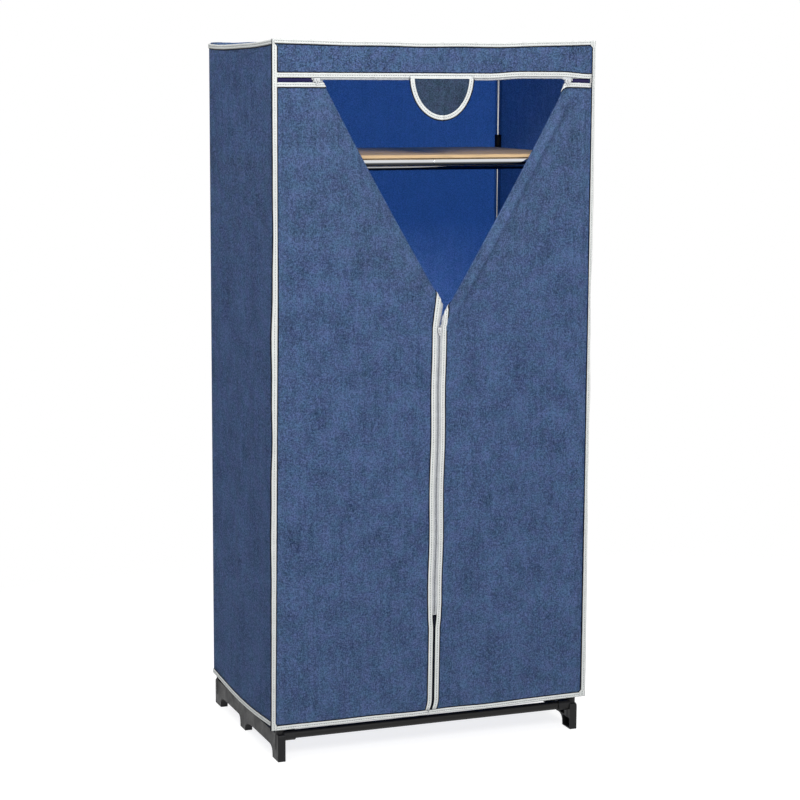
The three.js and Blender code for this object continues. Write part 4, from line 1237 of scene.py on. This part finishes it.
class WARDROBE_OT_walls(bpy.types.Operator):
    """Hangs the cover's top, back, sides and header band, each as one cut of cloth"""
    bl_idname = "wardrobe.walls"
    bl_label = "Walls of the cover"

    # The top's height over the tubes and joints that it lies on
    OVER_TUBE = TOP_TUBE_Z + TUBE_R + 0.0009
    OVER_JOINT = TOP_TUBE_Z + COLLAR_R + 0.0009

    def execute(self, context):
        side_y = FACE_Y - 0.0013
        for name, side in SIDES:
            points, flat = wall_points(
                (side * FACE_X, -side_y), (side * FACE_X, side_y), (-side, 0),
                side_droop, 11.3 + side)
            # The sides' web is stretched across the frame, so its speckle is drawn out
            hang("cover_side_" + name, points, flat * (0.55, 0.85), (side, 0, 0))
        points, flat = wall_points(
            (-FACE_X, FACE_Y), (FACE_X, FACE_Y), (0, -1), back_droop, 23.9, columns=96)
        hang("cover_back", points, flat, (0, 1, 0))
        self.top()
        self.header()
        return {"FINISHED"}

    def close_at_rim(self, half, count):
        """Places across the top, closer together near its rim."""
        near = half - np.array([0.0015, 0.003, 0.0045, 0.006, 0.009])
        return merged(np.linspace(-half, half, count), near, -near, digits=6)

    def top(self):
        """The top lies on the tubes and joints, and sinks between them."""
        x, y = np.meshgrid(self.close_at_rim(FACE_X, 100), self.close_at_rim(FACE_Y, 68))
        a, b = arch(x / (2 * FACE_X) + 0.5, 0.8), arch(y / (2 * FACE_Y) + 0.5, 0.8)
        low = TOP_FACE - 0.0046 * (1 - (1 - a) * (1 - b)) - 0.0045 * a * b
        low = low + 0.0009 * soft_noise(x, y, 0.13, 0.10, 41.0) * a * b
        from_x, from_y = abs(abs(x) - POST_X), abs(abs(y) - POST_Y)
        beside, along = np.minimum(from_x, from_y), np.maximum(from_x, from_y)
        tube = self.OVER_TUBE - 0.33 * np.maximum(beside - 0.005, 0)
        joint = (self.OVER_JOINT - 0.30 * np.maximum(beside - 0.006, 0)
                 - 0.22 * np.maximum(along - 0.037, 0))
        z = np.maximum(np.maximum(low, tube), joint)
        # Outside the tubes it turns down to meet the binding
        rim = np.minimum(FACE_X - abs(x), FACE_Y - abs(y))
        z = np.minimum(z, HEIGHT - 0.0048 - crown(x, y) + 2.2 * rim)
        hang("cover_top", stack(x, y, z), stack(x, y), (0, 0, 1))

    def header(self):
        """The band above the door, with a little slack along its foot."""
        x, level = np.meshgrid(
            np.linspace(-FRONT_REACH[-1], FRONT_REACH[1], 120), np.linspace(0, 1, 18))
        top = TOP_FACE - 0.002 - crown(x, -DEPTH / 2)
        z = HEADER_FOOT + (top - HEADER_FOOT) * level
        calm = smooth(FACE_X - abs(x), 0.006, 0.05) * smooth(level, 0.16, 0.5)
        calm = calm * smooth(1 - level, 0.02, 0.3)
        rise = np.maximum(0.0016 * soft_noise(x, z, 0.09, 0.05, 51.0) * calm, -0.0008)
        hang("header_band", stack(x, -FACE_Y - rise, z), stack(x, z), (0, -1, 0))


class WARDROBE_OT_flaps(bpy.types.Operator):
    """Cuts the door's two flaps and folds their upper corners back behind them"""
    bl_idname = "wardrobe.flaps"
    bl_label = "Door flaps"

    def execute(self, context):
        for name, side in SIDES:
            points, flat = Flap(side).points()
            widths = abs(flat[:, -1, 0] - flat[:, 0, 0])
            heights = flat[:, 0, 1]
            hang("flap_" + name, points, flat, (0, -1, 0),
                 area=float(np.trapz(widths, heights)))
        return {"FINISHED"}


class WARDROBE_OT_bindings(bpy.types.Operator):
    """Sews the white binding along the cover's edges"""
    bl_idname = "wardrobe.bindings"
    bl_label = "Edge bindings"

    def execute(self, context):
        self.half = half_binding()
        # The top one stands a little above the cloth; the hem's runs from one side of the
        # door's slit round to the other
        self.round_cover(
            "top_piping", 0.0, 0.0, lambda x, y: HEIGHT - self.half - crown(x, y), -1, True)
        slit, slit_half = SLIT_X + float(slit_bend(HEM)), 0.0008
        self.round_cover(
            "hem_binding", slit - slit_half, slit + slit_half,
            lambda x, y: hem_level(x, y) + self.half, 1)
        self.corners()
        self.header()
        return {"FINISHED"}

    def round_cover(self, node, start_x, end_x, level, edge, loop=False):
        """Round the cover's plan at a level, with the cloth's edge above or below it."""
        path, strips = Round(PIPING, start_x, end_x), Strips()
        stations = merged(path.alongs)
        sewn(strips, path.strip(level), stations[:-1] if loop else stations, self.half,
             PIPING, (edge,), loop)
        strips.settle_binding(node)

    def corners(self):
        """The front's two corner seams stand out to the sides, from the top to the hem."""
        half = self.half
        for name, side in SIDES:
            left = side < 0
            foot = HEM + (0.0006 if left else 0.0040)
            top = HEIGHT - 0.0012 + (0 if left else 0.003)
            # How far out its outer edge runs, and how much farther at its foot
            reach, flare = 0.3828 + 0.0025 * side, 0.0030

            def place(along, across, rise):
                # Past the hem's and the top's bindings only the outer part goes on
                free = smooth(along, foot + 0.0102, foot + 0.016)
                free = free * smooth(top - along, 0.0095, 0.016)
                share = (along - foot) / (top - foot)
                slack = 0.0009 * np.sin(16 * along + side) + 0.0006 * np.sin(41 * along)
                outer = reach + slack * arch(share)
                outer = outer + flare * (1 - smooth(share, 0, 0.5))
                if left:
                    low = np.clip((1.05 - along) / 0.98, 0, 1)
                    inner = 0.3732 + (0.0085 * low - 0.0053) * free
                    outer = outer + 0.0022 - 0.0044 * smooth(along, 0.7, 1.25)
                else:
                    inner = 0.3727 + 0.0056 * free
                out = (across + half) / (2 * half)
                swing = 0.0012 * np.sin(12 * along + 2) * out
                return stack(side * (inner + (outer - inner) * out),
                             -FACE_Y - 0.0003 - rise + swing, along)

            def on_wall(along, across, rise):
                return stack(side * (FACE_X + 0.0002 + rise), -FACE_Y + 0.0045 + across, along)

            strips = Strips()
            stations = merged(
                np.arange(foot, top, 0.008), np.linspace(foot, foot + 0.018, 10),
                np.linspace(top - 0.018, top, 10))
            sewn(strips, place, stations, half, PIPING)
            # Near-black strips of painted shade beside the binding, and on the side wall under
            # it
            if left:
                strips.edge(place, stations, half - 0.0010, half + 0.0026)
            stations = stations[(stations > foot + 0.011) & (stations < top - 0.011)]
            strips.edge(place, stations, -half - (0.0022 if left else 0.0036), -half + 0.0012)
            strips.edge(on_wall, stations, -0.0038, 0.0042)
            strips.settle_binding("corner_piping_" + name)

    def header(self):
        """Along the header band's foot, over the zip's tape."""
        def place(along, across, rise):
            return stack(along, -FACE_Y - 0.0012 - rise,
                         HEADER_FOOT + self.half + across + header_lift(along))

        strips = Strips()
        stations = np.linspace(-HEADER_REACH, FRONT_REACH[1] - 0.0012, 94)
        sewn(strips, place, stations, self.half, FRONT_RISE, edges=(1,))
        strips.settle_binding("header_binding")


# Where a zip's teeth and the stitches of its tape lie, outwards from its middle
TOOTH, TAPE_STITCH = 0.0012, 0.0040
# Length, width and height of the teeth, the end stops and the tape's stitches
CENTRE_TOOTH, FLAP_TOOTH, HEADER_TOOTH = (
    (0.0011, width, 0.0011) for width in (0.0034, 0.0032, 0.0030))
CENTRE_STOP, HEADER_STOP = (0.0026, 0.0044, 0.0012), (0.0026, 0.0040, 0.0012)
STITCH_STEP, STITCH_SIZE = 0.0024, (0.0015, 0.0006, 0.0004)
# Sections of the tapes and of the cloth behind them: across, rise
CENTRE_TAPE = [(0.0006, 0), (0.0006, 0.0005), (0.0034, 0.0006), (0.0076, 0.0009),
               (0.012, 0.0009), (0.012, 0.0003), (0.0076, 0.0003), (0.0034, 0)]
FLAP_TAPE = [(0.0006, 0), (0.0006, 0.0005), (0.0034, 0.0005), (0.0052, 0.0003),
             (0.0052, 0), (0.0034, -0.0001)]
HEADER_TAPE = [(0.0006, 0.0003), (0.0006, 0.0008), (0.0034, 0.0009), (0.0120, 0.0009),
               (0.0120, 0.0003)]
SELVEDGE = [(0.0056, 0.0003), (0.0056, 0.0009), (0.0120, 0.0009), (0.0120, 0.0003)]
UNDERLAP = [(-0.016, 0), (-0.016, 0.0006), (-0.0012, 0.0008), (0, 0.0021),
            (0.0012, 0.0008), (0.012, 0.0012), (0.012, 0.0006), (-0.0012, 0.0002)]
SLIT_SHADE = [(-0.014, 0), (-0.014, 0.0006), (0.014, 0.0006), (0.014, 0)]


class WARDROBE_OT_door_strips(bpy.types.Operator):
    """Sews the bindings and zips of the door, folded back with the flaps"""
    bl_idname = "wardrobe.door_strips"
    bl_label = "Zips and their bindings"

    def execute(self, context):
        self.pitch = sizes().coil_pitch
        for name, side in SIDES:
            flap = Flap(side)
            self.zip_binding(flap, name)
            self.centre_zip(flap, name)
            self.top_binding(flap, name)
        self.header_zip()
        return {"FINISHED"}

    def stitch(self, strips, place, start, end, rise):
        """A row of stitches along a zip's tape."""
        rows = np.arange(start + 0.003, end - 0.003, STITCH_STEP)
        strips.studs(place, rows, TAPE_STITCH, rise, STITCH_SIZE, finish=2)

    def teeth(self, strips, place, start, end, size, rise=0.0005, finish=1):
        at = np.arange(start, end, self.pitch)
        strips.studs(place, at, TOOTH, rise, size, finish)

    def zip_binding(self, flap, name):
        """Beside the zip, from the hem's binding to the folded corner's end."""
        half = half_binding()
        middle = 0.0113

        def place(along, across, rise):
            # Below the zip the two bindings draw together
            narrow = 0.0010 + 0.0022 * (1 - smooth(along, ZIP_FOOT - 0.035, ZIP_FOOT - 0.002))
            narrow = narrow * (1 - smooth(along, ZIP_FOOT, ZIP_FOOT + 0.03))
            w = flap.beside(along, middle - narrow + across) + flap.side * zip_wave(along)
            return flap.place(w, along, 0.0012 + rise)

        strips = Strips()
        foot, end = HEM + 2 * half + 0.0003, flap.strip_end(middle - half)
        stations = flap.near_fold(foot, end, middle)
        sewn(strips, place, stations, half, FRONT_RISE, edges=(1,))
        strips.settle_binding("flap_zip_binding_" + name)

    def centre_zip(self, flap, name):
        """One half of the door's upright zip, from its stop to the folded corner's end."""
        def place(along, across, rise):
            w = flap.beside(along, across) + flap.side * zip_wave(along)
            return flap.place(w, along, rise)

        end = flap.strip_end(0.0008)
        strips = Strips()
        strips.tape(place, flap.near_fold(ZIP_FOOT, end, 0.006), CENTRE_TAPE)
        # The two halves' teeth stand between each other
        start = ZIP_FOOT + 0.004 + (self.pitch / 2 if flap.side > 0 else 0)
        self.teeth(strips, place, start, end - 0.002, CENTRE_TOOTH)
        self.stitch(strips, place, ZIP_FOOT, end, 0.0006)
        strips.studs(place, [ZIP_FOOT + 0.0016], 0.0011, 0.0005, CENTRE_STOP)
        if flap.side < 0:
            # A near-black sheet hangs behind the open slit under the zip: painted shade
            def behind(along, across, rise):
                x = -flap.beside(along) + zip_wave(along) + across
                return stack(x, -FACE_Y + 0.0034 - rise, along)

            strips.tape(behind, np.linspace(HEM + 0.004, ZIP_FOOT + 0.012, 40), SLIT_SHADE,
                        finish=3)
        strips.settle("zip_centre_" + name, "centre_zip_" + name, "white_zip",
                      "tape", "coil", "thread", "guard")

    def top_binding(self, flap, name):
        """Along the flap's top edge and round its fold, with the flap's half of the top
        zip from the slider inwards."""
        half = half_binding() - 0.00015
        below = 0.0006 + half
        level = FLAP_TOP - below
        start = (FACE_X if flap.side < 0 else FRONT_REACH[1]) - 0.0014
        past = flap.folded_end(level, float(flap.beside(FLAP_TOP)))
        end, fold = (start - float(flap.w_at(level, q)) for q in (past, 0))

        def place(along, across, rise):
            w = start - along
            return flap.place(w, flap.top(w) - below + across, 0.0003 + rise)

        def zip_place(along, across, rise):
            w = start - along
            return flap.place(w, ZIP_LINE - across - flap.drop(w), rise)

        stations = merged(
            np.arange(0, end, 0.006), np.arange(fold - 0.020, fold + 0.030, 0.0006), [end])
        strips = Strips()
        sewn(strips, place, stations, half, FRONT_RISE, edges=(-1,))
        zip_start = start - (-TOP_ZIP_LEFT if flap.side < 0 else TOP_ZIP_RIGHT)
        strips.tape(zip_place, stations[stations > zip_start], FLAP_TAPE, finish=3)
        self.teeth(strips, zip_place, zip_start + 0.004, end - 0.002, FLAP_TOOTH, finish=4)
        strips.settle_binding("flap_top_binding_" + name, "tape", "coil")

    def header_zip(self):
        """The header's half of the top zip. It ends at the sliders' parking places. Past
        them its selvedge runs on behind the binding, and an underlap of cloth with a
        pressed fold along it, drawn dark navy as painted shade, closes the slit."""
        left_end, right_end = -HEADER_REACH, HEADER_REACH + 0.005

        def place(along, across, rise):
            lift = header_lift(along) * (1 - smooth(along, 0.302, 0.311))
            return stack(along, -FACE_Y - rise, ZIP_LINE + across + lift)

        def behind(along, across, rise):
            return stack(along, -FACE_Y + 0.0038 - rise, ZIP_LINE - 0.0004 + across)

        strips = Strips()
        strips.tape(place, np.linspace(TOP_ZIP_LEFT, TOP_ZIP_RIGHT, 90), HEADER_TAPE)
        for first, last in ((left_end, TOP_ZIP_LEFT - 0.0002),
                            (TOP_ZIP_RIGHT + 0.0002, right_end)):
            strips.tape(place, np.linspace(first, last, 12), SELVEDGE)
        self.teeth(strips, place, TOP_ZIP_LEFT + 0.004, TOP_ZIP_RIGHT - 0.004, HEADER_TOOTH,
                   rise=0.0006)
        self.stitch(strips, place, TOP_ZIP_LEFT, TOP_ZIP_RIGHT, 0.0009)
        for stop in (TOP_ZIP_LEFT + 0.0015, TOP_ZIP_RIGHT - 0.0015):
            strips.studs(place, [stop], TOOTH, 0.0006, HEADER_STOP)
        # The underlaps are drawn dark navy: painted shade in the slit
        for first, last in ((left_end, TOP_ZIP_LEFT + 0.010),
                            (TOP_ZIP_RIGHT - 0.010, right_end)):
            strips.tape(behind, np.linspace(first, last, 12), UNDERLAP, finish=3)
        strips.settle("zip_header", "header_zip", "white_zip", "tape", "coil", "thread",
                      "underlap")


class WARDROBE_OT_pull_cover(bpy.types.Operator):
    """Makes the half-round flap that hangs over the place where the top zips meet"""
    bl_idname = "wardrobe.pull_cover"
    bl_label = "Half-round flap"

    # The mean radius by which a place along its round edge becomes an angle
    EDGE_RADIUS = 0.085

    def execute(self, context):
        patch = self.cloth()
        binding = self.binding()
        return {"FINISHED"}

    def lift(self, x, z):
        """How far its inner face stands off the front: sewn down at its top, then clear of
        the sliders, with a crease down its middle and a lifted lower edge."""
        drop, across = COVER_TOP - z, x - COVER_X
        sewn_down, rest = 0.0027, 0.0061
        lift = sewn_down + (rest - sewn_down) * smooth(drop, 0.0, 0.006)
        crease = 0.0032 * np.exp(-((across - 0.004 + 0.12 * (drop - 0.05)) / 0.0036) ** 2)
        belly = 0.0028 * np.cos(np.clip(across / COVER_HALF, -1, 1) * math.pi / 2)
        edge = 0.0016 * smooth(drop, 0.055, 0.095)
        loose = crease * smooth(drop, 0.012, 0.04) + belly + edge
        return lift + loose * smooth(drop, 0, 0.02)

    def cloth(self):
        """Half an ellipse of doubled cloth, in rows from its sewn edge down."""
        angles = merged(np.linspace(0, 0.06, 4), np.linspace(0.06, 1.45, 34),
                        np.linspace(1.45, math.pi / 2, 5), digits=12)
        across, angle = np.meshgrid(np.linspace(-1, 1, 56), angles)
        z = COVER_TOP - COVER_DROP * np.sin(angle)
        x = COVER_X + across * COVER_HALF * np.maximum(np.cos(angle), 0.002)
        points = stack(x, -FACE_Y - self.lift(x, z) - 0.0006, z)
        patch = cloth_sheet("cloth_pull_cover", points, stack(x, z), (0, -1, 0))
        return settle(patch, "pull_cover", "blue_cloth", "patch", "lining", body="pull_cover")

    def binding(self):
        """Round its free edge, and a narrower one along its sewn edge."""
        half = half_binding()

        def on_front(x, z, rise):
            return stack(x, -FACE_Y - self.lift(x, z) - 0.0008 - rise, z)

        def place(along, cross, rise):
            angle = along / self.EDGE_RADIUS
            x = COVER_X + (COVER_HALF - half - cross) * np.cos(angle)
            return on_front(x, COVER_TOP - (COVER_DROP - half - cross) * np.sin(angle), rise)

        def head(along, cross, rise):
            return on_front(along, COVER_TOP - 0.0026 - cross, rise)

        strips = Strips()
        stations = np.linspace(0.06, math.pi - 0.06, 84) * self.EDGE_RADIUS
        sewn(strips, place, stations, half, FRONT_RISE, edges=(-1,))
        # The tape is folded round the edge, so it shows on the inside as well
        strips.tape(place, stations, [
            (-half, -0.0011), (-half, -0.0006), (half, -0.0006), (half, -0.0011)])
        reach = COVER_HALF - 0.0006
        strips.tape(head, np.linspace(COVER_X - reach, COVER_X + reach, 60), [
            (-0.0028, 0), (-0.0028, 0.0006), (-0.002, 0.001), (0.002, 0.001),
            (0.0028, 0.0006), (0.0028, 0)])
        return strips.settle_binding("pull_cover_binding", body="pull_cover")


# ---- The add-on

class WARDROBE_PT_panel(bpy.types.Panel):
    """Lists the wardrobe's pieces, and its sizes and colours"""
    bl_idname = "WARDROBE_PT_panel"
    bl_label = "Fabric wardrobe"
    bl_space_type = "VIEW_3D"
    bl_region_type = "UI"
    bl_category = "Wardrobe"

    def draw(self, context):
        layout = self.layout
        for operator in PIECES:
            layout.operator(operator.bl_idname)
        for group in (context.scene.wardrobe_sizes, context.scene.wardrobe_colours):
            box = layout.box()
            for name in group.__annotations__:
                box.prop(group, name)


PIECES = (
    WARDROBE_OT_stage, WARDROBE_OT_tubes, WARDROBE_OT_joints, WARDROBE_OT_carried_over,
    WARDROBE_OT_walls, WARDROBE_OT_bindings, WARDROBE_OT_flaps, WARDROBE_OT_door_strips,
    WARDROBE_OT_pull_cover,
)
CLASSES = (WardrobeSizes, WardrobeColours) + PIECES + (WARDROBE_PT_panel,)


def register():
    for item in CLASSES:
        bpy.utils.register_class(item)
    bpy.types.Scene.wardrobe_sizes = PointerProperty(type=WardrobeSizes)
    bpy.types.Scene.wardrobe_colours = PointerProperty(type=WardrobeColours)


def unregister():
    del bpy.types.Scene.wardrobe_colours
    del bpy.types.Scene.wardrobe_sizes
    for item in reversed(CLASSES):
        bpy.utils.unregister_class(item)


def main():
    register()
    for operator in PIECES:
        family, piece = operator.bl_idname.split(".")
        if getattr(getattr(bpy.ops, family), piece)() != {"FINISHED"}:
            raise RuntimeError(operator.bl_label + " wasn't made")


if __name__ == "__main__":
    main()
